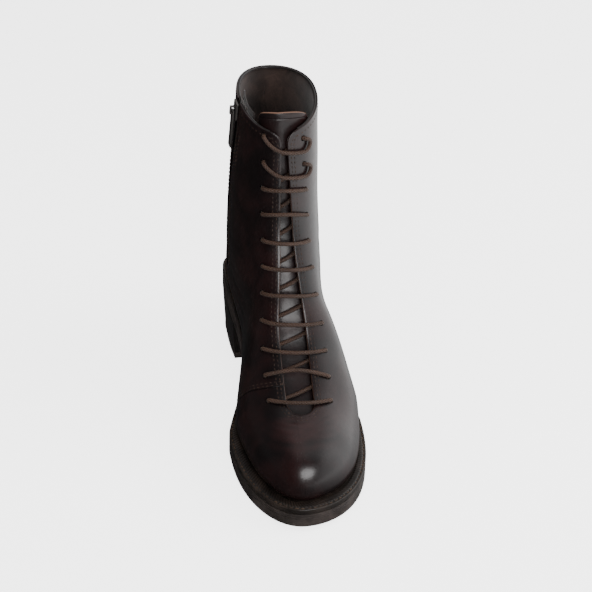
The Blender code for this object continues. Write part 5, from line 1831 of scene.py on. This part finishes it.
def rimmed_slab(
    name: str, form: SoleForm, edges: tuple[Array, Array], rim: Array, low: Move, high: Move,
    across: int = 16, scale: Array | None = None,
) -> bpy.types.Object:
    """A slab with a worked edge: loops round the plan carry the rim's profile, grids close both faces.

    Loop k lies rim[k, 0] inside the plan along its normals, at low + rim[k, 1] * (high - low) + rim[k, 2].

    Args:
        name: Name of the piece.
        form: The sole's form.
        edges: Medial and lateral edge as (x, forward) rows, that meet in front or end at the heel's breast.
        rim: Inset, share of the height and offset in metres of each loop, from the lower face up.
        low: Height of the lower face at forward places.
        high: Height of the upper face at forward places.
        across: Steps across the two faces.
        scale: Share of x kept by each loop.

    Returns:
        The piece.
    """
    shape, (left, right) = Shape(), edges
    count = len(left)
    tip = np.linalg.norm(left[-1] - right[-1]) < 1e-5
    share = np.linspace(0, 1, across + 1)[1:-1, None]
    breast = left[-1] + (right[-1] - left[-1]) * share
    loop = np.vstack([left, right[::-1][1:-1]]) if tip else np.vstack([left, breast, right[::-1][:-1]])
    normal = inward(loop, unit(np.roll(loop, -1, axis=0) - np.roll(loop, 1, axis=0)))
    scale = np.ones(len(rim)) if scale is None else scale
    loops = []
    for (inset, part, offset), kept in zip(rim, scale):
        plan = (loop + normal * inset) * np.array([kept, 1.0])
        base, top = low(plan[:, 1]), high(plan[:, 1])
        loops.append(np.column_stack([plan, base + part * (top - base) + offset]))
    loops = np.array(loops)
    shape.add(form.to_world(loops), grid_quads(len(rim), loops.shape[1], wrap=True))
    for part in (0, -1):
        edge = loops[part]
        start = len(edge) - count + (2 if tip else 1)
        other = np.vstack([edge[:1], edge[start:][::-1], edge[count - 1 : count][: int(tip)]])
        blend = np.linspace(0, 1, across + 1)[None, :, None]
        grid = edge[:count, None] * (1 - blend) + other[:, None] * blend
        if tip:
            grid[-1] = edge[count - 1]
        inner = slice(0, -1 if tip else None), slice(1, -1)
        grid[(*inner, 2)] = (high if part else low)(grid[(*inner, 1)]) + rim[part, 2]
        if not tip:
            grid[-1, 1:-1] = edge[count : count + across - 1]
        shape.add(form.to_world(grid), grid_quads(count, across + 1))
    return shape.piece(name, 40)


NO_INSET = (0.0, 0.0, 0.0)


@dataclass
class SoleUnit:
    """The welted sole: ridged welt, grooved outsole, block heel and its top piece."""

    form: SoleForm
    stations: int = 300
    welt_steps: int = 1500
    welt_underlap: float = 0.0060
    ridge_pitch: float = 0.0026
    ridge_height: float = 0.00080
    lip: float = 0.0019
    outsole_rim = (
        (0.0012, 0.0, 0.0), (0.0005, 0.0, 0.00015), (0.0001, 0.0, 0.0006), (0.0, 0.0, 0.0013), (0.0, 0.30, 0.0),
        (0.0, 0.60, 0.0), (0.0, 0.640, 0.0), (0.00028, 0.655, 0.0), (0.00028, 0.680, 0.0), (0.0, 0.695, 0.0),
        (0.0, 0.80, 0.0), (0.0, 0.835, 0.0), (0.00022, 0.848, 0.0), (0.00022, 0.868, 0.0), (0.0, 0.882, 0.0),
        (0.0, 1.0, -0.0006), (0.00015, 1.0, -0.0002), (0.0006, 1.0, 0.0),
    )
    block_rim = (
        (0.0010, 0.0, 0.0), (0.0004, 0.0, 0.00008), (0.0, 0.0, 0.0006), (0.0, 0.12, 0.0), (0.0, 0.38, 0.0),
        (0.0, 0.64, 0.0), (0.0, 0.88, 0.0), (0.0, 1.0, -0.0006), (0.00025, 1.0, -0.0001), (0.0008, 1.0, 0.0),
    )
    lift_rim = (
        (0.0012, 0.0, 0.0), (0.0004, 0.0, 0.00015), (0.0, 0.0, 0.0009), (0.0, 0.5, 0.0), (0.0, 0.86, 0.0),
        (0.0003, 0.95, 0.0), (0.0009, 1.0, 0.0),
    )
    welt_profile = (
        (0.0008, 0.0), (0.0002, 0.0002), (0.0, 0.0008), (0.0, 0.0038), (0.0002, 0.0044), (0.0007, SoleForm.welt),
    )

    def edges(self, end: float | None = None) -> tuple[Array, Array]:
        """Medial and lateral plan edges, closer together at the round ends.

        Args:
            end: Forward place where they stop; the toe where it is left out.

        Returns:
            Both edges as (x, forward) rows.
        """
        form = self.form
        forward = form.length / 2 * (1 - np.cos(np.linspace(0, math.pi, self.stations)))
        if end is not None:
            forward = np.append(forward[forward < end - 1e-4], end)
        left, right = (np.column_stack([form.edge(forward, side, NO_INSET), forward]) for side in Side)
        right[0] = left[0]
        if end is None:
            right[-1] = left[-1]
        return left, right

    def outsole(self) -> bpy.types.Object:
        """The outsole, with two fine lines round its edge."""
        form, rim = self.form, np.array(self.outsole_rim)
        top = form.outsole
        return rimmed_slab("outsole_rubber", form, self.edges(), rim, form.tread, lambda f: form.tread(f) + top)

    def heel(self) -> tuple[bpy.types.Object, bpy.types.Object]:
        """The heel block and its top piece, narrowed towards the floor."""
        form, edges = self.form, self.edges(self.form.heel_length)
        narrow = 1 - form.heel_taper / form.heel_half_width
        block_rim, lift_rim = np.array(self.block_rim), np.array(self.lift_rim)
        scale = narrow + (1 - narrow) * np.clip(block_rim[:, 1], 0, 1)

        def level(height: float) -> Move:
            """A face that is level at one height."""
            return lambda forward: np.full(np.shape(forward), height)

        block = rimmed_slab(
            "heel_block_stack", form, edges, block_rim, level(form.top_piece + form.gap),
            lambda f: form.tread(f) - form.gap, scale=scale,
        )
        lift = rimmed_slab(
            "heel_top_lift", form, edges, lift_rim, level(0.0), level(form.top_piece),
            scale=np.full(len(lift_rim), narrow),
        )
        return block, lift

    def ridge(self, run: Array, inset: Array, ledge: Array) -> tuple[Array, Array]:
        """Height of the welt's slanted ridges, rounded teeth along the run, and the painted shade of each place
        between the teeth.

        Args:
            run: Length along the sole's outline.
            inset: Distance from it.
            ledge: Width of the welt that shows.

        Returns:
            Heights in metres, and painted shade from 0 to 1.
        """
        phase = (run + inset * 0.75) / self.ridge_pitch * 2 * math.pi
        tooth = np.sqrt(np.clip(0.5 + 0.5 * np.cos(phase), 0, 1))
        window = smooth_step(self.lip + 0.0004, self.lip + 0.0011, inset)
        window = window * (1 - smooth_step(ledge - 0.0010, ledge - 0.0002, inset))
        return self.ridge_height * tooth * window, np.clip(1.3 - tooth * 1.7, 0, 1) * window

    def welt(self) -> bpy.types.Object:
        """The welt: plain outer lip, sewing groove and slanted ridges up to the upper."""
        form, shape = self.form, Shape()
        loop, normal = self.welt_plan(self.welt_steps, 3)
        run, forward = run_along(loop), loop[:, 1]
        outer_side = loop[:, 0] > form.toe_swing
        ledge = np.where(outer_side, form.ledge(forward, Side.LATERAL), form.ledge(forward, Side.MEDIAL))
        toe = smooth_step(0.93, 0.99, forward / form.length)
        ledge = ledge * (1 - toe) + form.ledge_toe * toe
        rows = [(inset, height, 0.0) for inset, height in self.welt_profile]
        start, end = self.lip * 0.75, ledge + self.welt_underlap * 0.5
        for share in np.linspace(0, 1, 15):
            inset = start + (end - start) * share
            groove = 0.00045 * np.exp(-(((inset - self.lip) / 0.00035) ** 2))
            tooth, hollow = self.ridge(run, inset, ledge)
            # The sewing groove is given painted shade as well.
            seam = np.exp(-(((inset - self.lip) / 0.0004) ** 2))
            rows.append((inset, form.welt - groove + tooth, np.maximum(hollow, seam)))
        # The row tucked under the upper takes full painted shade.
        rows += [(end, 0.0, 1.0), rows[0]]
        grid, hollows = [], []
        for inset, height, hollow in rows:
            plan = loop + normal * np.broadcast_to(inset, len(loop))[:, None]
            grid.append(np.column_stack([plan, form.tread(plan[:, 1]) + form.outsole + form.gap + height]))
            hollows.append(np.broadcast_to(hollow, len(loop)))
        quads = grid_quads(len(grid), len(loop), wrap=True)
        shape.add(form.to_world(np.array(grid)), quads, hollow=np.array(hollows))
        return shape.piece("welt_ridged", 70)

    def welt_plan(self, count: int, reach: int) -> tuple[Array, Array]:
        """The sole's outline and its inward normals, each read over a few points on both sides."""
        loop = self.form.outline(NO_INSET, count)
        return loop, inward(loop, unit(np.roll(loop, -reach, axis=0) - np.roll(loop, reach, axis=0)))

    def welt_line(self, inset: float) -> tuple[Array, Array]:
        """World path and upward normals of a seam along the welt's top.

        Args:
            inset: Distance of the seam from the sole's edge.

        Returns:
            The path and the normals.
        """
        form = self.form
        loop, normal = self.welt_plan(900, 2)
        plan = loop + normal * inset
        height = form.tread(plan[:, 1]) + form.stack - 0.0001
        path = form.to_world(np.column_stack([plan, height]))
        slope = (form.tread(plan[:, 1] + 1e-4) - form.tread(plan[:, 1] - 1e-4)) / 2e-4
        up = unit(np.column_stack([np.zeros(len(plan)), slope, np.ones(len(plan))]))
        return path, up


@dataclass
class SideZip:
    """The zip on the inner side behind the shell's slot: tape, coil teeth and guard flap."""

    surface: UpperSurface
    forward: float = UpperShell.zip_forward
    rise: float = UpperShell.slot_rise
    tape_width: float = 0.0240
    tape_thickness: float = 0.0008
    guard_width: float = 0.0360
    guard_thickness: float = 0.0011
    slider_plate: float = 0.0017
    gap: float = 0.0003
    tooth_pitch: float = 0.0015
    tooth_halves: Triple = (0.0015, 0.00052, 0.00075)

    def strip(
        self, name: str, width: float, depths: tuple[float, float], ends: tuple[float, float]
    ) -> bpy.types.Object:
        """A smooth strip along the zip, below the outer face.

        Args:
            name: Name of the piece.
            width: Width of the strip.
            depths: Depth of its outer and of its inner face.
            ends: Heights of its lower and upper end.

        Returns:
            The piece.
        """
        form = self.surface.form
        z, across = np.meshgrid(np.linspace(*ends, 70), np.linspace(-width / 2, width / 2, 18), indexing="ij")
        places = self.surface.side_places(self.forward + across, z, Side.MEDIAL)
        normals = form.normals(places)
        shape = Shape()
        lipped_sheet(shape, *(places - normals * depth for depth in depths), 0, 3, form.sole.to_world)
        return shape.piece(name, 60)

    def teeth(self, low: float, high: float, depth: float) -> bpy.types.Object:
        """Coil teeth: rounded blocks that lean in from both sides in turn.

        Args:
            low: Height of the lowest tooth.
            high: Height of the highest.
            depth: Their depth below the outer face.

        Returns:
            The piece.
        """
        form, shape = self.surface.form, Shape()
        count = int((high - low) / self.tooth_pitch)
        z = low + (np.arange(count) + 0.5) * self.tooth_pitch
        ends = np.array([-1.0, -0.85, 0.85, 1.0])[:, None]
        swell = np.array([0.55, 1.0, 1.0, 0.55])[:, None]
        turn = np.linspace(0, 2 * math.pi, 8, endpoint=False)
        half_width, half_height, half_depth = self.tooth_halves
        body = np.stack([
            np.broadcast_to(ends * half_width, (4, 8)), swell * half_height * np.cos(turn),
            swell * half_depth * np.sin(turn),
        ], axis=-1)
        for sign in (-1, 1):
            forward = np.full(count, self.forward + sign * 0.0009)
            places = self.surface.side_places(forward, z + sign * 0.25 * self.tooth_pitch, Side.MEDIAL)
            normals = form.normals(places)
            out = world_way(normals)
            across = unit(np.cross(out, np.array([0.0, 0.0, 1.0])))
            frames = np.stack([across, np.cross(across, out), out], axis=1)
            scatter(shape, body, form.sole.to_world(places - normals * depth), frames)
        return shape.piece("zip_teeth", 60)

    def build(self, slider_low: float) -> list[bpy.types.Object]:
        """Make the tape, the guard flap and the teeth.

        Args:
            slider_low: Height of the slider's lower end.

        Returns:
            The three pieces.
        """
        form = self.surface.form
        bottom, top = form.seat + self.rise, form.collar_side
        tape_depth = form.wall + self.gap
        guard_depth = tape_depth + self.tape_thickness + self.gap + self.slider_plate + 2 * self.gap
        tape_faces = (tape_depth, tape_depth + self.tape_thickness)
        guard_faces = (guard_depth, guard_depth + self.guard_thickness)
        tape = self.strip("zip_tape_cloth", self.tape_width, tape_faces, (bottom - 0.006, top - 0.003))
        guard = self.strip("zip_guard_flap", self.guard_width, guard_faces, (bottom - 0.010, top - 0.005))
        return [tape, guard, self.teeth(bottom + 0.001, slider_low - 0.0005, form.wall - 0.0006)]


def bevelled_copy(node: bpy.types.Object, name: str, width: float, segments: int = 3) -> bpy.types.Object:
    """A copy of a CAD node with its doubles merged and its edges rounded.

    Args:
        node: The CAD node.
        name: Name of the copy.
        width: Width of the rounding.
        segments: Steps round each edge.

    Returns:
        The copy.
    """
    mesh = node.data.copy()
    work = bmesh.new()
    work.from_mesh(mesh)
    bmesh.ops.transform(work, matrix=node.matrix_world, verts=work.verts)
    bmesh.ops.remove_doubles(work, verts=work.verts, dist=2e-6)
    bmesh.ops.dissolve_limit(work, angle_limit=math.radians(3), verts=work.verts, edges=work.edges)
    bmesh.ops.recalc_face_normals(work, faces=work.faces)
    work.to_mesh(mesh)
    work.free()
    mesh.materials.clear()
    made = placed(name, mesh)
    bevel = made.modifiers.new("edges", "BEVEL")
    bevel.width = width
    bevel.segments = segments
    bevel.limit_method = "ANGLE"
    bevel.angle_limit = math.radians(35)
    mesh.shade_smooth()
    mesh.set_sharp_from_angle(angle=math.radians(40))
    return made


@dataclass
class Stitching:
    """Every sewn row that shows."""

    surface: UpperSurface
    front: FrontMap
    upper: UpperShell
    thread: Thread = Thread()
    collar_drop: float = 0.0038

    def facing_rows(self, shape: Shape) -> int:
        """Rows beside the facings and round the throat's end, and their number of stitches."""
        surface, form = self.surface, self.surface.form
        total = 0
        for side, distances in ((Side.MEDIAL, (0.0022, 0.0050)), (Side.LATERAL, (0.0022, 0.0046))):
            for distance in distances:
                radius, corner = form.corner_radius, surface.collar - form.corner_radius
                lengths = np.linspace(surface.throat + form.throat_width * 0.5, surface.collar - 0.0034, 240)
                arcs = self.front.edge(np.minimum(lengths, corner), side) + side.value * distance
                top = np.clip((lengths - (corner - 0.002)) / (radius - 0.0014), 0, 0.98)
                arcs = arcs + side.value * (1 - np.sqrt(1 - top**2)) * (radius - distance * 0.6)
                total += self.lay(shape, lengths, arcs)
        for distance in (0.0022, 0.0050):
            reach = form.throat_width / 2 + distance
            turn = np.linspace(0, math.pi, 120)
            lengths = surface.throat + form.throat_width / 2 - reach * np.sin(turn)
            total += self.lay(shape, lengths, reach * np.cos(turn))
        return total

    def lay(self, shape: Shape, lengths: Array, arcs: Array) -> int:
        """Sew along places given by length and distance on the front."""
        places, normals = self.front.read(lengths, arcs)
        return self.thread.sew(shape, self.surface.form.sole.to_world(places), world_way(normals))

    def lay_on(self, shape: Shape, places: Array) -> int:
        """Sew along places on the outer face."""
        form = self.surface.form
        return self.thread.sew(shape, form.sole.to_world(places), world_way(form.normals(places)))

    def collar_row(self, shape: Shape) -> int:
        """One row below the collar, broken at the zip."""
        surface, form = self.surface, self.surface.form
        sheet = surface.sheet(np.array([surface.collar - self.collar_drop]), 500, np.array([0.0]))[0]
        edge = form.corner_radius + form.throat_top_width / 2 + 0.001
        at_front = (sheet[:, 1] > 0.08) & (np.abs(sheet[:, 0] - form.throat_centre) < edge)
        at_zip = (sheet[:, 0] < 0) & (np.abs(sheet[:, 1] - self.upper.zip_forward) < 0.0062)
        return sum(self.lay_on(shape, sheet[run]) for run in unbroken(~at_front & ~at_zip, 4))

    def zip_rows(self, shape: Shape) -> int:
        """Two rows down each side of the zip's slot and across its foot."""
        form, upper = self.surface.form, self.upper
        low, high = form.seat + upper.slot_rise, form.collar_side - 0.0042
        total = 0
        for distance in (0.0022, 0.0078):
            half = upper.slot_width / 2 + distance
            z = np.linspace(high, low - distance, 160)
            across = np.linspace(-half, half, 24)
            forward = np.concatenate([np.full(160, -half), across[1:-1], np.full(160, half)]) + upper.zip_forward
            heights = np.concatenate([z, np.full(22, low - distance), z[::-1]])
            total += self.lay_on(shape, self.surface.side_places(forward, heights, Side.MEDIAL))
        return total

    def panel_rows(self, shape: Shape) -> int:
        """Double row beside the medial panel's edge."""
        form = self.surface.form
        path = self.upper.seam_path(160)
        tangent = unit(np.gradient(path, axis=0))
        aside = unit(np.cross(form.normals(path), tangent))
        return sum(self.lay_on(shape, form.settled(path + aside * offset, 6)) for offset in (0.0014, 0.0036))

    def build(self) -> bpy.types.Object:
        """Make every row of the upper as one piece."""
        shape = Shape()
        count = self.facing_rows(shape) + self.collar_row(shape) + self.zip_rows(shape) + self.panel_rows(shape)
        log.info("upper stitches: %d", count)
        return shape.piece("upper_stitching", 80)


@dataclass(frozen=True)
class Studio:
    """Pale floor, soft light and the camera at the photograph's angle."""

    eye: Triple = (-0.2146, -1.3210, 1.0431)
    right: Triple = (0.9914, -0.1305, 0.0)
    up: Triple = (0.0785, 0.5966, 0.7986)
    lens: float = 127.8
    shift: float = 0.139
    floor_shade: float = 0.80
    floor_lift: float = 3.1
    floor_glow: float = 0.3
    lamps = (
        # name, place, aim, width, power in watts, whether the polish shows it
        ("side_window", (1.15, -0.25, 0.95), (0.0, -0.06, 0.12), 1.1, 17.0, False),
        ("overhead", (-0.10, -0.25, 1.5), (0.0, -0.1, 0.05), 0.5, 9.0, False),
        ("toe_box", (0.13, -1.31, 0.72), (0.0, -0.22, 0.04), 0.74, 9.0, True),
        ("front_fill", (-0.9, -1.5, 1.1), (0.0, -0.1, 0.1), 1.0, 8.0, False),
    )

    def camera(self) -> None:
        """Place the camera."""
        data = bpy.data.cameras.new("camera")
        data.lens = self.lens
        data.sensor_width = 36.0
        data.clip_start, data.clip_end = 0.05, 20.0
        data.shift_x = self.shift
        made = placed("camera", data)
        made.location = self.eye
        right, up = Vector(self.right), Vector(self.up)
        made.rotation_euler = Matrix((right, up, right.cross(up))).transposed().to_euler()
        bpy.context.scene.camera = made

    @staticmethod
    def lamp(name: str, place: Triple, aim: Triple, size: float, power: float, mirrored: bool) -> None:
        """One round soft light.

        Args:
            name: Name of the light.
            place: Where it stands.
            aim: What it looks at.
            size: Its width.
            power: Its power in watts.
            mirrored: Whether the polish shows it.
        """
        data = bpy.data.lights.new(name, "AREA")
        data.shape = "DISK"
        data.size = size
        data.energy = power
        made = placed(name, data)
        made.visible_glossy = mirrored
        made.visible_camera = False
        made.location = place
        made.rotation_euler = (Vector(aim) - Vector(place)).to_track_quat("-Z", "Y").to_euler()

    def floor(self) -> bpy.types.Object:
        """The pale floor: lifted for the camera, and dark on the inner side where the leather mirrors it."""
        mesh = bpy.data.meshes.new("floor")
        size = 6.0
        mesh.from_pydata([(-size, -size, 0), (size, -size, 0), (size, size, 0), (-size, size, 0)], [], [(0, 1, 2, 3)])
        made = placed("floor", mesh)
        graph, shader = new_material("floor card", 0.9, 0.0)
        shader.inputs["Base Color"].default_value = (self.floor_shade, self.floor_shade, self.floor_shade, 1)
        split = graph.node("ShaderNodeSeparateXYZ")
        graph.feed(split.inputs[0], graph.place())
        glow = graph.node("ShaderNodeEmission")
        level = graph.math("POWER", graph.spread(split.outputs[0], -0.06, 0.23), 1.6)
        graph.feed(glow.inputs["Strength"], graph.math("MULTIPLY_ADD", level, 1.30, 0.02))
        path = graph.node("ShaderNodeLightPath")
        lift = graph.node("ShaderNodeEmission")
        low = self.floor_glow
        seen = graph.math("MULTIPLY_ADD", path.outputs["Is Camera Ray"], self.floor_lift - low, low)
        graph.feed(lift.inputs["Strength"], seen)
        lit = graph.node("ShaderNodeAddShader")
        graph.feed(lit.inputs[0], shader.outputs[0])
        graph.feed(lit.inputs[1], lift.outputs[0])
        mix = graph.node("ShaderNodeMixShader")
        graph.feed(mix.inputs[0], path.outputs["Is Glossy Ray"])
        graph.feed(mix.inputs[1], lit.outputs[0])
        graph.feed(mix.inputs[2], glow.outputs[0])
        graph.feed(graph.tree.nodes["Material Output"].inputs["Surface"], mix.outputs[0])
        mesh.materials.append(bpy.data.materials["floor card"])
        return made

    def world(self) -> None:
        """A soft surround, brighter on the outer side; what is mirrored of it lies behind and at that side."""
        world = bpy.data.worlds.new("surround")
        world.use_nodes = True
        bpy.context.scene.world = world
        graph = Graph(world.node_tree)
        background = world.node_tree.nodes["Background"]
        split = graph.node("ShaderNodeSeparateXYZ")
        graph.feed(split.inputs[0], graph.node("ShaderNodeTexCoord").outputs["Generated"])
        soft = graph.spread(split.outputs[0], -0.9, 0.9, 0.22, 0.71)
        behind = graph.spread(split.outputs[1], -0.50, 0.10, 0.03, 0.55)
        behind = graph.math("MULTIPLY", behind, graph.spread(split.outputs[0], -0.55, 0.15, 0.12, 1.0))
        mirrored = graph.math("ADD", behind, graph.spread(split.outputs[0], 0.35, 0.85, 0.0, 0.9))
        glossy = graph.node("ShaderNodeLightPath").outputs["Is Glossy Ray"]
        level = graph.math("MULTIPLY_ADD", glossy, graph.math("SUBTRACT", mirrored, soft), soft)
        background.inputs["Color"].default_value = (1, 1, 1, 1)
        graph.feed(background.inputs["Strength"], level)

    def build(self) -> None:
        """Set the whole studio."""
        self.camera()
        self.world()
        for lamp in self.lamps:
            self.lamp(*lamp)
        self.floor()


def main() -> None:
    """Build the dressed boot in the CAD frame."""
    logging.basicConfig(level=logging.INFO, format="%(name)s: %(message)s")
    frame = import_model()
    nodes, effects = frame["nodes"], Effects()
    leather = PolishedLeather(raw_rim=0.45, raw=(0.110, 0.056, 0.038)).make(effects)
    tongue_finish = PolishedLeather("tongue leather", wave=0.22, raw_rim=0.9, roughness=0.40, coat=0.25)
    tongue_leather = tongue_finish.make(effects)
    # The collar piping gets a lighter leather than the upper: a painted highlight along its rolled edge.
    piping_highlight_finish = PolishedLeather("collar binding", (0.020, 0.0165, 0.016), (0.040, 0.031, 0.029), roughness=0.42)
    piping_highlight = piping_highlight_finish.make(effects)
    lining = SoftLining().make(effects)
    rubber = EdgeRubber().make(effects)
    heel_finish = EdgeRubber("heel finish", (0.0060, 0.0050, 0.0048), (0.0140, 0.0110, 0.0100), 0.28, 0.35)
    stacked = heel_finish.make(effects)
    welt_finish = EdgeRubber("welt leather", (0.0095, 0.0068, 0.0055), (0.0260, 0.0180, 0.0140), 0.42, 0.2)
    welt_leather = welt_finish.make(effects)
    cord = WaxedCord().make(effects)
    thread = SewingThread().make(effects)
    welt_thread = SewingThread("welt thread", (0.030, 0.019, 0.013), (0.075, 0.046, 0.030)).make(effects)
    metal = Metalwork().make(effects)
    woven = WovenTape().make(effects)
    log.info("finishes ready")
    form = LastForm()
    surface = UpperSurface(form)
    front = FrontMap(surface)
    log.info("front map ready: throat %.4f, collar %.4f", surface.throat, surface.collar)

    def settle(
        item: bpy.types.Object, finish: bpy.types.Material, slot: str, *replaced: str, body: str = "boot"
    ) -> None:
        """Dress a piece, tie it to its body and hide the CAD nodes that it stands for.

        Args:
            item: The piece.
            finish: Its material.
            slot: The record's material slot; not used.
            replaced: The CAD nodes.
            body: The body it rides on.
        """
        item.data.materials.append(finish)
        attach(item, body)
        if replaced:
            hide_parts(*replaced)
        log.info("%s: %d faces", item.name, len(item.data.polygons))

    upper = UpperShell(surface, front)
    shell, inside, piping = upper.build()
    settle(shell, leather, "upper_leather", "upper")
    settle(inside, lining, "lining_leather")
    settle(piping, piping_highlight, "upper_leather")
    settle(Tongue(front).build(), tongue_leather, "upper_leather", "tongue")
    settle(Lacing(front).build(), cord, "waxed_cord", "lace")
    sole = SoleUnit(form.sole)
    settle(sole.outsole(), rubber, "sole_rubber", "outsole")
    settle(sole.welt(), welt_leather, "welt_leather", "welt")
    block, lift = sole.heel()
    settle(block, stacked, "heel_finish", "heel_block")
    settle(lift, rubber, "sole_rubber", "top_piece")
    tape, guard, teeth = SideZip(surface).build(float(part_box("zip_slider")[0][2]))
    settle(tape, woven, "zip_tape", "zip_tape")
    settle(guard, lining, "lining_leather", "zip_guard")
    settle(teeth, metal, "gunmetal", "zip_chain")
    slider = bevelled_copy(nodes["zip_slider"], "zip_slider_body", 0.00035)
    settle(slider, metal, "gunmetal", "zip_slider")
    tab = bevelled_copy(nodes["zip_pull_tab"], "zip_pull_tab_metal", 0.00042)
    settle(tab, metal, "gunmetal", "zip_pull_tab", body="pull_tab")
    insole = bevelled_copy(nodes["insole"], "insole_sock", 0.0006, 2)
    settle(insole, lining, "lining_leather", "insole")
    settle(Stitching(surface, front, upper).build(), thread, "waxed_cord")
    seam = Shape()
    Thread(length=0.0034, gap=0.0009, radius=0.00042).sew(seam, *sole.welt_line(sole.lip))
    settle(seam.piece("welt_stitching", 80), welt_thread, "waxed_cord")
    Studio().build()


if __name__ == "__main__":
    main()
